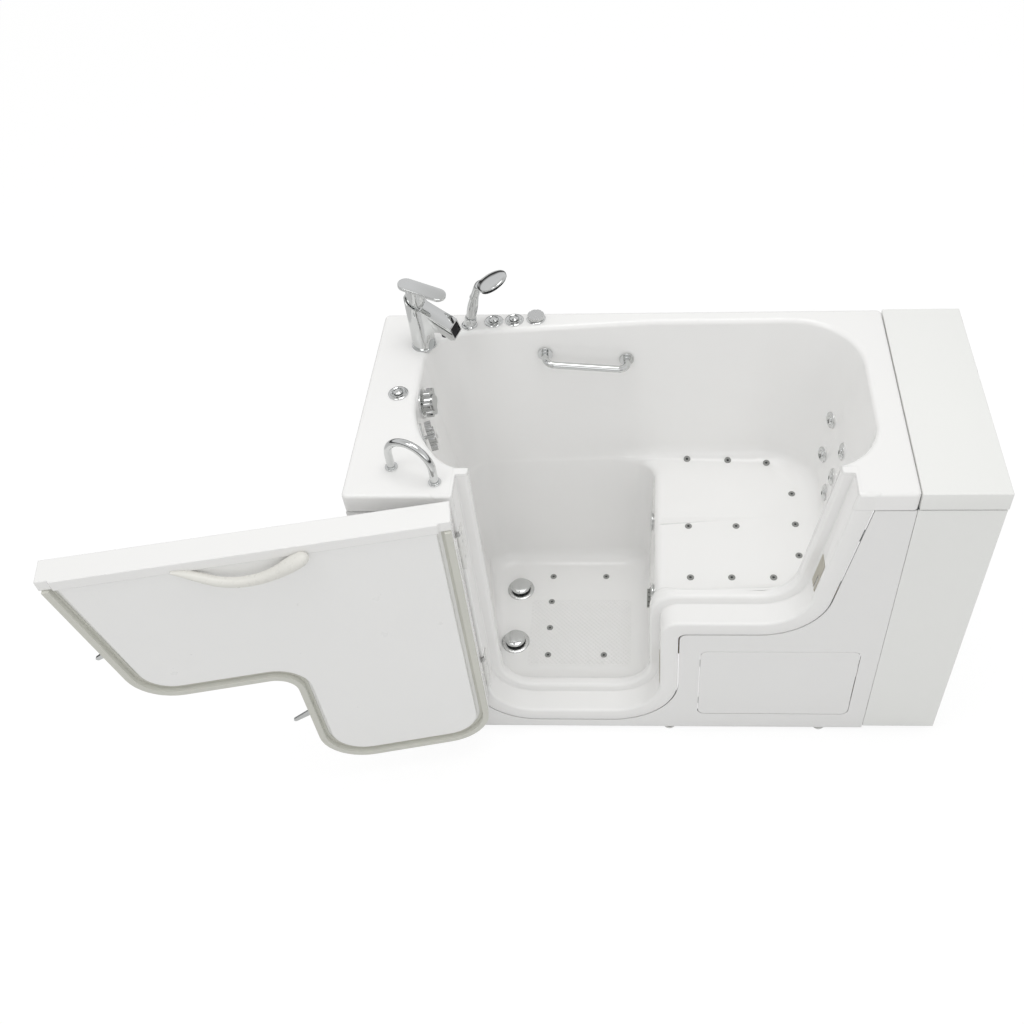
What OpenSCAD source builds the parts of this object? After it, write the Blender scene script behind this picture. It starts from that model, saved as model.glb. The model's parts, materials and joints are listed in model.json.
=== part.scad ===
// Walk-in bathtub with a side door, a moulded seat, water and air jets, and
// an end extension. Lengths are in millimetres, +Z is up and the bather
// steps in from -Y. The modules work from the left end, the front and the
// floor; the origin is then moved to the centre of the tub on the floor.

/* [Tub] */
// Length of the tub without its extension
tub_l = 1321; // [1290:1:1420]
// Depth of the tub, front to back
tub_w = 660; // [640:1:720]
// Height of the deck above the skirt's bottom edge
tub_h = 1009; // [990:1:1060]
// Height of the fascia round the deck
rim_h = 53; // [45:1:65]
// Wall of the moulded shell
shell_t = 7; // [5:0.5:8]
// Gap between the floor and the skirt's bottom edge
foot_gap = 12; // [10:1:16]

/* [Basin] */
// Deck between the left end and the basin
deck_left = 130; // [126:1:136]
// Deck between the right end and the basin
deck_right = 70; // [64:1:80]
// Deck between the back and the basin
deck_back = 42; // [38:1:50]
// Depth of the front wall, from the fascia to the basin
deck_front = 88; // [86:1:94]
// Height of the footwell's floor above the skirt's bottom edge
floor_h = 75; // [74:1:80]
// Height of the seat above the skirt's bottom edge
seat_h = 515; // [500:1:520]
// Seat's front edge from the left end
seat_x = 722; // [715:1:726]
// How far the backrest leans over the seat's height
backrest_lean = 73; // [60:1:80]
// Radius of the roll from the deck into the basin
rim_roll = 14; // [10:1:18]
// Radius at the foot of the seat's walls
seat_fillet = 50; // [40:1:60]
// Radius of the seat's front edge
seat_edge_r = 24; // [18:1:30]
// Height of the fillet round the footwell's floor
floor_fillet = 50; // [40:1:56]

/* [Doorway] */
// Left jamb from the left end
door_x = 258; // [254:1:262]
// Right jamb at the deck, from the right end
door_right = 141; // [138:1:150]
// How far the right jamb leans down to the seat sill
jamb_lean = 80; // [70:1:90]
// Height of the sill above the skirt's bottom edge
sill_h = 85; // [82:1:90]
// Height of the sill in front of the seat
seat_sill_h = 510; // [504:1:516]
// Step of the doorway past the seat's front edge
step_past = 13; // [10:1:16]
// Depth of the door's rebate
rebate_d = 68; // [66:1:70]
// Width of the stop face that the gasket closes on
stop_w = 28; // [26:1:32]
// Width of the moulded frame round the doorway
frame_w = 49; // [44:1:54]

/* [Skirt and extension] */
// Thickness of the skirt panels
skirt_t = 5; // [4:0.5:6]
// Length of the extension kit
ext_l = 203; // [150:1:250]
// Gap between the tub and the extension
ext_gap = 1.5; // [1:0.5:3]
// Height of the extension's panels above the skirt's bottom edge
ext_lift = 9; // [0:1:20]
// Access panel's left edge, past the seat's front edge
access_in = 122; // [110:1:140]
// Access panel's right edge, from the right end
access_right = 53; // [45:1:80]
// Access panel's lower edge above the skirt's bottom edge
access_z = 72; // [60:1:90]
// Height of the access panel
access_h = 310; // [280:1:320]
// Corner radius of the access panel
access_r = 20; // [10:1:30]
// Gap round the access panel
access_gap = 2; // [1:0.5:3]

/* [Door] */
// How far the door stands open in the stored pose
door_open = 169; // [150:1:172]
// Gap between the door and its rebate
door_gap = 7; // [6:0.5:8]
// How far the door's outer face stands in front of the fascia
door_proud = 4; // [2:0.5:5]
// Thickness of the door's hollow body
door_t = 48; // [44:1:49]
// Wall of the door's body
door_wall = 5; // [4:0.5:6]
// Height of the door's top cap
cap_h = 30; // [24:1:36]
// Depth of the top cap
cap_d = 70; // [64:1:70]
// Width of the border that the inner panel leaves to the gasket
panel_border = 42; // [38:1:48]
// Span of the door's handle
handle_w = 232; // [200:1:260]
// Drop of the handle's bow
handle_drop = 50; // [35:1:90]
// Radius of the handle's bar
handle_r = 11; // [9:0.5:15]
// Tilt of the bow away from the door, in degrees
handle_tilt = 30; // [0:1:45]

/* [Hinges and latches] */
// Hinge axis in front of the fascia
hinge_out = 8.5; // [8:0.5:10]
// Height of the lower hinge's middle above the skirt's bottom edge
hinge_low = 297; // [260:1:330]
// Height of the upper hinge's middle above the skirt's bottom edge
hinge_high = 820; // [780:1:860]
// Length of each hinge
hinge_h = 118; // [100:1:130]
// Radius of the hinge pin
pin_r = 3; // [2.5:0.5:4]
// Radius of the hinge's knuckles
knuckle_r = 6.5; // [6:0.5:7]
// Reach of a latch's lever from its spindle
lever_l = 130; // [110:1:150]
// Spindle's distance from the door's edge
latch_in = 38; // [36:1:44]
// Height of the lower latch above the skirt's bottom edge
latch_low = 258; // [240:1:280]
// Height of the upper latch above the skirt's bottom edge
latch_high = 668; // [660:1:690]

/* [Fittings] */
// Tube radius of the grab bars
bar_r = 9.5; // [8:0.5:12]
// Height of the deck's grab bar above the deck
arc_h = 112; // [90:1:130]
// Span of the wall's grab bar
wall_bar_w = 222; // [180:1:240]
// How far the wall's grab bar stands off
wall_bar_out = 48; // [40:1:60]
// Radius of the faucet's body
faucet_r = 30; // [26:1:32]
// Height of the faucet's body
faucet_h = 134; // [120:1:150]
// Reach of the faucet's spout
spout_reach = 104; // [90:1:115]
// Radius of a deck button's bezel
bezel_r = 25; // [22:0.5:27]
// Travel of a deck button
button_travel = 3; // [2:0.5:3.5]
// Outer radius of a drain's flange
drain_r = 36; // [30:1:45]
// Lift of a drain's stopper
stopper_lift = 12; // [8:1:14]
// Radius of a drain knob
knob_r = 32; // [28:1:35]
// Outer radius of a hydro jet's flange
jet_r = 22; // [18:1:25]
// Radius of an air jet's cap
air_r = 9; // [7:0.5:11]

/* [Frame and plant] */
// Width of the frame's steel tube
tube_w = 25; // [20:1:30]
// Height of the frame's steel tube
tube_h = 30; // [25:1:35]
// Wall of the frame's steel tube
tube_t = 2; // [1.5:0.5:3]
// Underside of the frame above the floor
frame_z = 30; // [28:1:32]
// Radius of the waste pipes
waste_r = 20; // [18:1:21]
// Radius of the jet pump's motor
motor_r = 68; // [60:1:75]
// Length of the jet pump's motor
motor_l = 200; // [160:1:220]
// Radius of the water pipes
water_r = 18; // [14:1:20]
// Radius of the air blower
blower_r = 72; // [60:1:80]
// Height of the air blower
blower_l = 178; // [150:1:200]
// Width of the control box
control_w = 100; // [80:1:110]
// Depth of the control box
control_d = 110; // [90:1:120]
// Height of the control box
control_h = 170; // [140:1:200]

/* [Hidden] */
deck_z = foot_gap + tub_h;
floor_z = foot_gap + floor_h;
seat_z = foot_gap + seat_h;
rim_z = deck_z - rim_h;
edge_r = 9;
set_back = 2;
wall_y = deck_front;
basin_x1 = tub_l - deck_right;
basin_y1 = tub_w - deck_back;
seat_x1 = basin_x1 - backrest_lean;

// ---- outlines ----
function unit(v) = v / norm(v);
function lerp(a, b, t) = a + (b - a) * t;
// Inward normal of the edge from a to b on an anticlockwise outline
function inward(a, b) = let (u = unit(b - a)) [-u[1], u[0]];
// Corner i of an outline moved in by inset
function inset_corner(p, i, inset) =
    let (n = len(p), a = p[(i + n - 1) % n], v = p[i], b = p[(i + 1) % n],
         m = inward(a, v), k = inward(v, b))
    v + inset * (m + k) / (1 + m * k);
// Anticlockwise outline with its corners rounded, moved in by inset
function rounded(p, r, inset = 0, step = 9) =
    let (n = len(p),
         q = [for (i = [0 : n - 1]) inset_corner(p, i, inset)])
    [for (i = [0 : n - 1])
        let (v = q[i], u = unit(q[(i + n - 1) % n] - v), w = unit(q[(i + 1) % n] - v),
             turn = u[0] * w[1] - u[1] * w[0],
             rad = r[i] == 0 ? 0 : max(0.5, r[i] + (turn < 0 ? -inset : inset)),
             half = acos(u * w) / 2,
             c = v + unit(u + w) * rad / sin(half),
             from = v + u * rad / tan(half) - c,
             to = v + w * rad / tan(half) - c,
             a0 = atan2(from[1], from[0]),
             da = (atan2(to[1], to[0]) - a0 + 540) % 360 - 180,
             k = ceil(abs(da) / step))
        each rad == 0 ? [v] : [for (j = [0 : k]) c + rad * [cos(a0 + da * j / k), sin(a0 + da * j / k)]]];
module along_y(y, depth)
    translate([0, y + depth, 0]) rotate([90, 0, 0]) linear_extrude(depth) children();

// Doorway seen from the front, as x and z
door_corners = [[door_x, deck_z + 60], [door_x, foot_gap + sill_h],
    [seat_x + step_past, foot_gap + sill_h], [seat_x + step_past, foot_gap + seat_sill_h],
    [tub_l - door_right - jamb_lean, foot_gap + seat_sill_h],
    [tub_l - door_right, deck_z], [tub_l - door_right + 0.13 * 60, deck_z + 60]];
door_radii = [0, 125, 140, 50, 125, 0, 0];
module doorway(inset = 0) polygon(rounded(door_corners, door_radii, inset));

// ---- basin ----
// Round the deck's inner edge: each corner is [x, y, z, setback]
corner_steps = [2, 4, 5, 7, 3, 5, 8, 8, 5, 3];
function bez(a, b, c, d, t) =
    a * pow(1 - t, 3) + 3 * b * t * pow(1 - t, 2) + 3 * c * t * t * (1 - t) + d * pow(t, 3);
function soft_ring(k) = let (n = len(k))
    [for (i = [0 : n - 1])
        let (v = [k[i][0], k[i][1], k[i][2]], d = k[i][3],
             a = k[(i + n - 1) % n], b = k[(i + 1) % n],
             p = v + unit([a[0], a[1], a[2]] - v) * d,
             q = v + unit([b[0], b[1], b[2]] - v) * d, m = corner_steps[i])
        for (j = [0 : m]) bez(p, lerp(p, v, 0.55), lerp(q, v, 0.55), q, j / m)];
function mix(k, m, fxy, fz) = [for (i = [0 : len(k) - 1])
    [lerp(k[i][0], m[i][0], fxy), lerp(k[i][1], m[i][1], fxy),
     lerp(k[i][2], m[i][2], fz), lerp(k[i][3], m[i][3], fxy)]];
// Concave fillet from a wall k to a floor m, and a roll from a floor k to a wall m
function fillet(k, m, a) = mix(k, m, 1 - cos(a), sin(a));
function roll(k, m, a) = mix(k, m, sin(a), 1 - cos(a));
function rim_rect(inset, z) = let (x1 = tub_l - inset, y1 = tub_w - inset, c = 14 - inset)
    [[door_x + stop_w, inset, z, 20], [inset, inset, z, c], [inset, 236, z, 60], [inset, y1, z, c],
     [640, y1, z, 20], [seat_x, y1, z, 20], [x1, y1, z, c], [x1, inset, z, c],
     [seat_x + 40, inset, z, 25], [seat_x - 40, inset, z, 25]];
function basin_rim(z, out) =
    [[door_x + stop_w, wall_y - out, z, 8], [deck_left + 92 - out * 0.5, wall_y + 20 - out, z, 35],
     [deck_left - out, 236 - out * 0.6, z, 90], [deck_left - out, basin_y1 - 44 + out, z, 105],
     [640, basin_y1 - 6 + out, z, 40], [seat_x, basin_y1 + out, z, 25],
     [basin_x1 + out, basin_y1 + out, z, 170], [basin_x1 + out, wall_y + 2 - out, z, 150],
     [seat_x + 40, wall_y + 2 - out, z, 25], [seat_x - 40, wall_y + 2 - out, z, 25]];
wall_foot = let (z = floor_z + floor_fillet, y0 = wall_y + 4, y1 = basin_y1 - 41)
    [[door_x + 90, y0, z, 20], [door_x + 8, y0 + 4, z, 30], [door_x - 6, 196, z, 60],
     [door_x - 68, y1, z, 80], [570, y1, z, 40], [seat_x - 14, y1, z, 60],
     [seat_x - 14, 430, z, 20], [seat_x - 14, 260, z, 20], [seat_x - 14, y0, z, 24],
     [580, y0, z, 25]];
foot_floor = let (z = floor_z, y0 = wall_y + 67, y1 = basin_y1 - 87)
    [[door_x + 92, y0, z, 20], [door_x + 32, y0, z, 18], [door_x + 18, 212, z, 34],
     [door_x - 26, y1, z, 60], [560, y1, z, 40], [seat_x - 58, y1, z, 60],
     [seat_x - 58, 420, z, 20], [seat_x - 58, 270, z, 20], [seat_x - 58, y0, z, 45],
     [570, y0, z, 25]];
// Footwell wall at height z, on the line from the rim to the wall's foot
function on_wall(i, z) = let (r = basin_rim(deck_z, 0)[i], w = wall_foot[i],
    t = (deck_z - z) / (deck_z - w[2])) [lerp(r[0], w[0], t), lerp(r[1], w[1], t), z, lerp(r[3], w[3], t)];
function seat_ring(z, kept, z_left) = [for (i = [0 : 9])
    i < 5 || i == 9 ? on_wall(i, z_left) : kept[i - 5]];
seat_y0 = wall_y + 4;
seat_y1 = basin_y1 - 10;
seat_wall = seat_ring(0, let (z = seat_z + seat_fillet)
    [[seat_x, seat_y1, z, 25], [seat_x1 + 8, seat_y1, z, 160], [seat_x1 + 8, seat_y0, z, 140],
     [seat_x + 40, seat_y0, z, 25]], seat_z + seat_fillet);
seat_flat = seat_ring(0, let (f = seat_fillet, z = seat_z)
    [[seat_x + seat_edge_r + 14, seat_y1 - 24, z, 25], [seat_x1 - f, seat_y1 - f, z, 120],
     [seat_x1 - f, seat_y0 + f, z, 110], [seat_x + seat_edge_r + 14, seat_y0 + 15, z, 14]],
    seat_z + 8);
seat_lip = seat_ring(0, let (x = seat_x + seat_edge_r, z = seat_z)
    [[x, seat_y1 - 24, z, 30], [x, 440, z, 20], [x, 240, z, 20], [x, seat_y0 + 13, z, 14]], seat_z);
seat_drop = seat_ring(0, let (x = seat_x, z = seat_z - seat_edge_r)
    [[x, seat_y1 - 26, z, 50], [x, 440, z, 20], [x, 240, z, 20], [x, seat_y0 + 7, z, 14]],
    seat_z - seat_edge_r);
roll_a = basin_rim(deck_z, rim_roll);
roll_b = basin_rim(deck_z - rim_roll, 0);
basin_keys = concat(
    [rim_rect(0, rim_z), rim_rect(0, deck_z - edge_r)],
    [for (a = [45, 90]) mix(rim_rect(0, deck_z - edge_r), rim_rect(edge_r, deck_z), 1 - cos(a), sin(a))],
    [for (a = [0, 30, 60, 90]) roll(roll_a, roll_b, a)],
    [for (a = [0, 30, 60, 90]) fillet(seat_wall, seat_flat, a)],
    [for (a = [0, 45, 90]) roll(seat_lip, seat_drop, a)],
    [for (a = [0, 30, 60, 90]) fillet(wall_foot, foot_floor, a)]);
basin_in = [for (k = basin_keys) soft_ring(k)];
ring_n = len(basin_in[0]);
ring_m = len(basin_in);
// Surface normal towards the bather, from the neighbours of a point
function surface_normal(k, i) =
    let (up = basin_in[max(k - 1, 0)][i], down = basin_in[min(k + 1, ring_m - 1)][i],
         left = basin_in[k][(i + ring_n - 1) % ring_n], right = basin_in[k][(i + 1) % ring_n])
    k == ring_m - 1 || k == 3 || k == 4 ? [0, 0, 1] : unit(cross(down - up, right - left));
// Averaged along the ring, so that the outer face stays smooth at tight corners
function soft_normal(k, i) = unit(surface_normal(k, i) + surface_normal(k, (i + 1) % ring_n)
    + surface_normal(k, (i + ring_n - 1) % ring_n));
basin_out = [for (k = [0 : ring_m - 1])
    [for (i = [0 : ring_n - 1]) basin_in[k][i] - shell_t * soft_normal(k, i)]];
function band(a, b) = [for (i = [0 : ring_n - 1]) let (j = (i + 1) % ring_n)
    each [[a + i, a + j, b + i], [a + j, b + j, b + i]]];
module basin() {
    n = ring_n;
    m = ring_m;
    out = n * m;
    mid = 2 * n * m;
    floor_mid = [(door_x + seat_x) / 2, (wall_y + basin_y1) / 2, floor_z];
    faces = concat(
        [for (k = [0 : m - 2]) each band(n * k, n * (k + 1))],
        [for (k = [0 : m - 2]) each [for (f = band(out + n * k, out + n * (k + 1))) [f[2], f[1], f[0]]]],
        [for (f = band(0, out)) [f[2], f[1], f[0]]],
        [for (i = [0 : n - 1]) [n * (m - 1) + i, n * (m - 1) + (i + 1) % n, mid]],
        [for (i = [0 : n - 1]) [out + n * (m - 1) + (i + 1) % n, out + n * (m - 1) + i, mid + 1]]);
    polyhedron([for (r = concat(basin_in, basin_out)) each r, floor_mid, floor_mid - [0, 0, shell_t]], faces);
}

// ---- places and common parts ----
clear = 0.3;
run_fit = 0.05;
hinge_x = door_x;
hinge_y = -hinge_out;
hinge_zs = [foot_gap + hinge_low, foot_gap + hinge_high];
leaf_t = 2.5;
ext_x0 = tub_l + ext_gap;
ext_x1 = tub_l + ext_l;
frame_y0 = set_back + skirt_t;
rail_z1 = frame_z + tube_h;
module place() translate([-tub_l / 2, -tub_w / 2, 0]) children();
// The door is drawn closed, then swung out to its stored pose
module swung() place() translate([hinge_x, hinge_y, 0]) rotate(-door_open)
    translate([-hinge_x, -hinge_y, 0]) children();
// Turns +Z to the direction n at point p
module facing(p, n) translate(p) rotate([0, acos(n[2]), atan2(n[1], n[0])]) children();
module disc(r, h, z = 0, n = 48) translate([0, 0, z]) cylinder(r = r, h = h, $fn = n);
module ring(r, bore, h, z = 0) translate([0, 0, z]) difference() {
    cylinder(r = r, h = h, $fn = 48);
    translate([0, 0, -1]) cylinder(r = bore, h = h + 2, $fn = 48);
}
module ball(p, r) translate(p) sphere(r = r, $fn = 32);
module rod(a, b, r) facing(a, unit(b - a)) cylinder(r = r, h = norm(b - a), $fn = 32);
// Pipe through a list of points, with round elbows
module pipe(p, r) {
    for (i = [0 : len(p) - 2]) rod(p[i], p[i + 1], r);
    for (i = [1 : len(p) - 2]) ball(p[i], r + 2);
}
module box(a, b) translate(a) cube(b - a);

// ---- places on the basin's wall: cell between two rings ----
function ring_pt(k, u) = let (i = floor(u) % ring_n, f = u - floor(u))
    lerp(basin_in[k][i], basin_in[k][(i + 1) % ring_n], f);
function wall_pt(w) = lerp(ring_pt(w[0], w[1]), ring_pt(w[0] + 1, w[1]), w[2]);
function wall_n(w) = let (k = w[0], i = floor(w[1]) % ring_n, j = (i + 1) % ring_n)
    unit(cross(basin_in[k + 1][i] - basin_in[k][i], basin_in[k][j] - basin_in[k][i]));
// Fittings stand on flat round seats moulded into the wall
module on_wall(w) facing(wall_pt(w) + pad_rise * wall_n(w), wall_n(w)) children();
module seat_pad(w, r) on_wall(w) disc(r + 1, pad_rise + shell_t + 1, -pad_rise - shell_t - 1);
module seat_cut(w, r, bore) on_wall(w) {
    disc(r + 1, 20);
    disc(bore + clear, 50, -30);
}
back_jets = [[7, 38.2, 0.563], [7, 38.8, 0.83], [7, 40.35, 0.535], [7, 40.34, 0.767], [7, 40.3, 0.93]];
foot_jets = [[14, 13.2, 0.6], [14, 8.8, 0.8], [14, 32.3, 0.28], [14, 49.3, 0.28]];
suction_at = [14, 45, 0.555];
knob_at = [[7, 13.24, 0.075], [7, 10.5, 0.09]];
pad_rise = 2.5;
jet_shank_r = jet_r - 4;
suction_r = jet_r + 10;
floor_jets = [for (p = [[0, 3], [1, 3], [0, 2], [0, 1], [0, 0], [1, 0]])
    [seat_x - 321 + p[0] * 168, wall_y + 110 + p[1] * 99, floor_z]];
// Three rows over the seat, then a column before the backrest
seat_rows = [seat_y0 + 58, (seat_y0 + seat_y1) / 2 - 20, seat_y1 - 158];
seat_column = seat_x1 - seat_fillet - air_r - 7;
seat_jets = concat([for (p = [[95, 0], [205, 0], [316, 0], [94, 1], [226, 1]])
        [seat_x + p[0], seat_rows[p[1]], seat_z]],
    [for (y = [seat_y0 + 133, seat_rows[1] + 6, seat_rows[2]]) [seat_column, y, seat_z]]);
seat_back_jets = [[10, 31.18, 0.5], [10, 31.68, 0.5], [10, 33.4, 0.5]];
drain_at = [[door_x + 43, 444], [door_x + 42, 245]];
faucet_at = [deck_left - 7, basin_y1 - 83];
faucet_turn = -15.5;
shower_at = [deck_left + 103, tub_w - 49];
button_at = [[deck_left + 167, tub_w - 36], [deck_left + 221, tub_w - 32], [83, 345]];
air_control_at = [deck_left + 279, tub_w - 27];
arc_feet = [[105, 92], [214, 42]];
wall_bar_at = [7, 21.5, 0.19];
wall_bar_dir = wall_pt([7, 23.6, 0.19]) - wall_pt(wall_bar_at);
module at_wall_bar() translate(wall_pt(wall_bar_at))
    rotate(atan2(wall_bar_dir[1], wall_bar_dir[0])) children();
deck_bore_r = 15;
shower_shank_r = 14;
drain_tail_r = 24;
bar_foot_r = 20;
bolt_r = 4;
plate_r = knob_r + 6;

// Line of the leaning jamb at height z, and the latches' spindles
function jamb_x(z) = tub_l - door_right
    - jamb_lean * (deck_z - z) / (deck_z - foot_gap - seat_sill_h);
latch_zs = [foot_gap + latch_high, foot_gap + latch_low];
latch_xs = [jamb_x(latch_zs[0]) - door_gap - latch_in, seat_x + step_past - door_gap - latch_in];
cam_l = latch_in + door_gap + 6;
cam_y = 24;
cam_t = 5;

// ---- tub ----
module tub_shell() place() color("white") difference() {
    union() {
        basin();
        intersection() {
            union() {
                along_y(set_back, skirt_t) difference() { doorway(-frame_w); doorway(-1); }
                along_y(set_back, wall_y - set_back - 4) difference() { doorway(-shell_t); doorway(-1); }
                along_y(rebate_d, wall_y + 1 - rebate_d)
                    difference() { doorway(-shell_t); doorway(stop_w - 1); }
            }
            box([0, -1, 0], [tub_l, tub_w, deck_z - 3]);
        }
        for (w = concat(back_jets, foot_jets)) seat_pad(w, jet_r);
        seat_pad(suction_at, suction_r);
        for (w = knob_at) seat_pad(w, plate_r);
        for (x = [0, wall_bar_w]) at_wall_bar() translate([x, shell_t, 0]) rotate([90, 0, 0])
            disc(bar_foot_r + 1, shell_t + pad_rise);
    }
    along_y(-10, rebate_d + 10) doorway(0);
    along_y(-10, wall_y + 50) doorway(stop_w);
    for (p = drain_at) translate([p[0], p[1], floor_z]) {
        disc(drain_r + 1, 40);
        disc(drain_tail_r + clear, 40, -20);
    }
    for (w = concat(back_jets, foot_jets)) seat_cut(w, jet_r, jet_shank_r);
    seat_cut(suction_at, suction_r, jet_shank_r);
    for (w = knob_at) seat_cut(w, plate_r, waste_r);
    for (p = floor_jets) translate(p) disc(air_r / 2 + clear, 20, -10, 24);
    for (p = seat_jets) translate(p) disc(air_r / 2 + clear, 20, -10, 24);
    for (w = seat_back_jets) facing(wall_pt(w), wall_n(w)) disc(air_r / 2 + clear, 20, -10, 24);
    translate([0, 0, deck_z - 12]) {
        for (p = concat([faucet_at, air_control_at], button_at)) translate(p) disc(deck_bore_r + clear, 20);
        translate(shower_at) disc(shower_shank_r + clear, 20);
        for (p = arc_feet) translate(p) disc(bolt_r + clear, 20, 0, 24);
    }
    for (x = [0, wall_bar_w]) at_wall_bar() translate([x, 12, 0]) rotate([90, 0, 0]) {
        disc(bolt_r + clear, 30, 0, 24);
        disc(bar_foot_r + 1, 20, 12 + pad_rise);
    }
    for (i = [0, 1]) latch_slot(i);
    for (z = hinge_zs, s = screw_rows) translate([hinge_x - 12, screw_y, z + s]) rotate([0, 90, 0])
        disc(screw_r + clear, 14, 0, 24);
}
// Slot that a latch's cam swings into, cut through the jamb
module latch_slot(i, below = 40) {
    x = latch_xs[i] + latch_in + door_gap;
    box([x - 22, cam_y - 1.5, latch_zs[i] - below], [x + 12, cam_y + cam_t + 1.5, latch_zs[i] + 14]);
}
module access_outline(grow = 0) {
    a = [seat_x + access_in, foot_gap + access_z];
    b = [tub_l - access_right, foot_gap + access_z + access_h];
    polygon(rounded([a, [b[0], a[1]], b, [a[0], b[1]]],
        [access_r, access_r, access_r, access_r], -grow, 15));
}
module front_apron() place() color("white") along_y(set_back, skirt_t) difference() {
    translate([set_back, foot_gap]) square([tub_l - 2 * set_back, rim_z - foot_gap]);
    doorway(-frame_w - 0.6);
    access_outline(access_gap);
}
module access_panel() place() color("white") along_y(set_back, skirt_t) access_outline();
// Steel catches behind the panel's corners, screwed to the skirt
module panel_catches() place() color("silver")
    for (x = [seat_x + access_in, tub_l - access_right], s = [0.2, 0.8])
        translate([x - 16, frame_y0, foot_gap + access_z + access_h * s - 15]) {
            cube([32, 2, 30]);
            translate([16, 5, 15]) rotate([90, 0, 0]) cylinder(r = 7, h = 3, $fn = 32);
        }
module end_panel() place() color("white")
    box([set_back, frame_y0, foot_gap], [frame_y0, tub_w - set_back - 2, rim_z]);

// ---- extension ----
module extension_top() place() color("white") difference() {
    along_y(0, tub_w) polygon(rounded([[ext_x0, rim_z], [ext_x1, rim_z], [ext_x1, deck_z], [ext_x0, deck_z]],
        [0, 0, 6, 3]));
    box([ext_x0 - 1, skirt_t, rim_z - 1], [ext_x1 - skirt_t, tub_w - skirt_t, deck_z - skirt_t]);
}
module extension_front() place() color("white")
    box([ext_x0 + 1, set_back, foot_gap + ext_lift], [ext_x1 - set_back, frame_y0, rim_z]);
module extension_end() place() color("white")
    box([ext_x1 - frame_y0, frame_y0, foot_gap + ext_lift], [ext_x1 - set_back, tub_w - set_back - 2, rim_z]);

// ---- frame ----
rail_x = [frame_y0, door_x + 87, tub_l / 2 - tube_w / 2, seat_x + 38, seat_x + 373,
    tub_l - frame_y0 - tube_w];
rail_y = [frame_y0, tub_w - frame_y0 - tube_w];
top_rail_z = rim_z - 8 - tube_h;
seat_board_t = 12;
post_top = rim_z - 4;
packer_w = 14;
foot_board_t = floor_z - shell_t - rail_z1;
board_y = [wall_y + 77, tub_w - 130];
trestle_z = seat_z - shell_t - seat_board_t - tube_h;
trestle_y = [board_y[0] + 25, board_y[1] - 40];
plant_board_t = 12;
foot_at = concat([for (y = rail_y, x = [60, 764, 1197]) [x, y + tube_w / 2]], [[tub_l / 2, tub_w / 2]]);
stem_r = 5;
waste_gap = 42;
// Square tube from corner a to corner b, open at its ends
module tube(a, b) difference() {
    d = b - a;
    box(a, b);
    lo = [for (i = [0 : 2]) d[i] == max(d) ? -1 : tube_t];
    translate(a + lo) cube(d - 2 * lo);
}
// Butt joints keep a weld line, so each tube stays a solid of its own
weld = 0.2;
module support_frame() place() color("darkgray") difference() {
    union() {
        tube([rail_x[0], rail_y[0], frame_z], [rail_x[5] + tube_w, rail_y[0] + tube_w, rail_z1]);
        // The rear rail leaves a gap for the waste
        for (x = [[rail_x[0], drain_at[0][0] - waste_gap], [drain_at[0][0] + waste_gap, rail_x[5] + tube_w]])
            tube([x[0], rail_y[1], frame_z], [x[1], rail_y[1] + tube_w, rail_z1]);
        for (x = rail_x)
            tube([x, rail_y[0] + tube_w + weld, frame_z], [x + tube_w, rail_y[1] - weld, rail_z1]);
        for (x = [rail_x[0], rail_x[5]], y = rail_y)
            tube([x, y, rail_z1 + weld], [x + tube_w, y + tube_w, post_top]);
        for (x = [rail_x[0], rail_x[5]])
            tube([x, rail_y[0] + tube_w + weld, top_rail_z],
                [x + tube_w, rail_y[1] - weld, top_rail_z + tube_h]);
        tube([rail_x[0] + tube_w + weld, rail_y[1], top_rail_z],
            [rail_x[5] - weld, rail_y[1] + tube_w, top_rail_z + tube_h]);
        for (x = [rail_x[3], rail_x[4]]) {
            for (y = trestle_y) tube([x, y, rail_z1 + weld], [x + tube_w, y + tube_w, trestle_z - weld]);
            tube([x, trestle_y[0], trestle_z], [x + tube_w, trestle_y[1] + tube_w, trestle_z + tube_h]);
        }
        for (y = rail_y, z = [rail_z1 + 40, top_rail_z])
            tube([rail_x[5] + tube_w + weld, y, z], [ext_x1 - frame_y0, y + tube_w, z + tube_h]);
    }
    for (p = foot_at) translate([p[0], p[1], frame_z - 1]) disc(stem_r + clear, tube_t + 2, 0, 24);
}
// Footwell board, seat board, two boards for the plant and the packers on the posts
module bearer_boards() place() color("burlywood") difference() {
    union() {
        for (x = [rail_x[0] + 10, rail_x[5] + 1], y = [rail_y[0] + 10, rail_y[1] + 1])
            box([x, y, post_top], [x + packer_w, y + packer_w, deck_z - shell_t]);
        box([rail_x[1], board_y[0], rail_z1], [rail_x[2] + tube_w, board_y[1] - 10, rail_z1 + foot_board_t]);
        box([rail_x[3] - 5, board_y[0], trestle_z + tube_h],
            [rail_x[4] + tube_w + 5, board_y[1], seat_z - shell_t]);
        box([rail_x[3] + 5, trestle_y[0] + tube_w + 8, rail_z1],
            [rail_x[4] + 10, trestle_y[1] - 8, rail_z1 + plant_board_t]);
        box([rail_x[4] + 14, board_y[0] - 75, rail_z1],
            [rail_x[5] + 12, board_y[1] + 30, rail_z1 + plant_board_t]);
    }
    for (y = trestle_y) translate([rail_x[4] - 0.5, y - 0.5, rail_z1 - 1]) cube([tube_w + 1, tube_w + 1, 20]);
    for (p = concat(floor_jets, seat_jets)) translate([p[0], p[1], p[2] - 60]) disc(air_r, 60, 0, 24);
}
module levelling_feet() place() for (p = foot_at) translate([p[0], p[1], 0]) color("gray") {
    disc(18, 5);
    disc(9, 5, 5, 32);
    disc(stem_r, frame_z + 10, 5, 24);
    difference() {
        translate([0, 0, frame_z - 6]) cylinder(r = 9.5, h = 6, $fn = 6);
        disc(stem_r - 1, 12, frame_z - 8, 24);
    }
}

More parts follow.
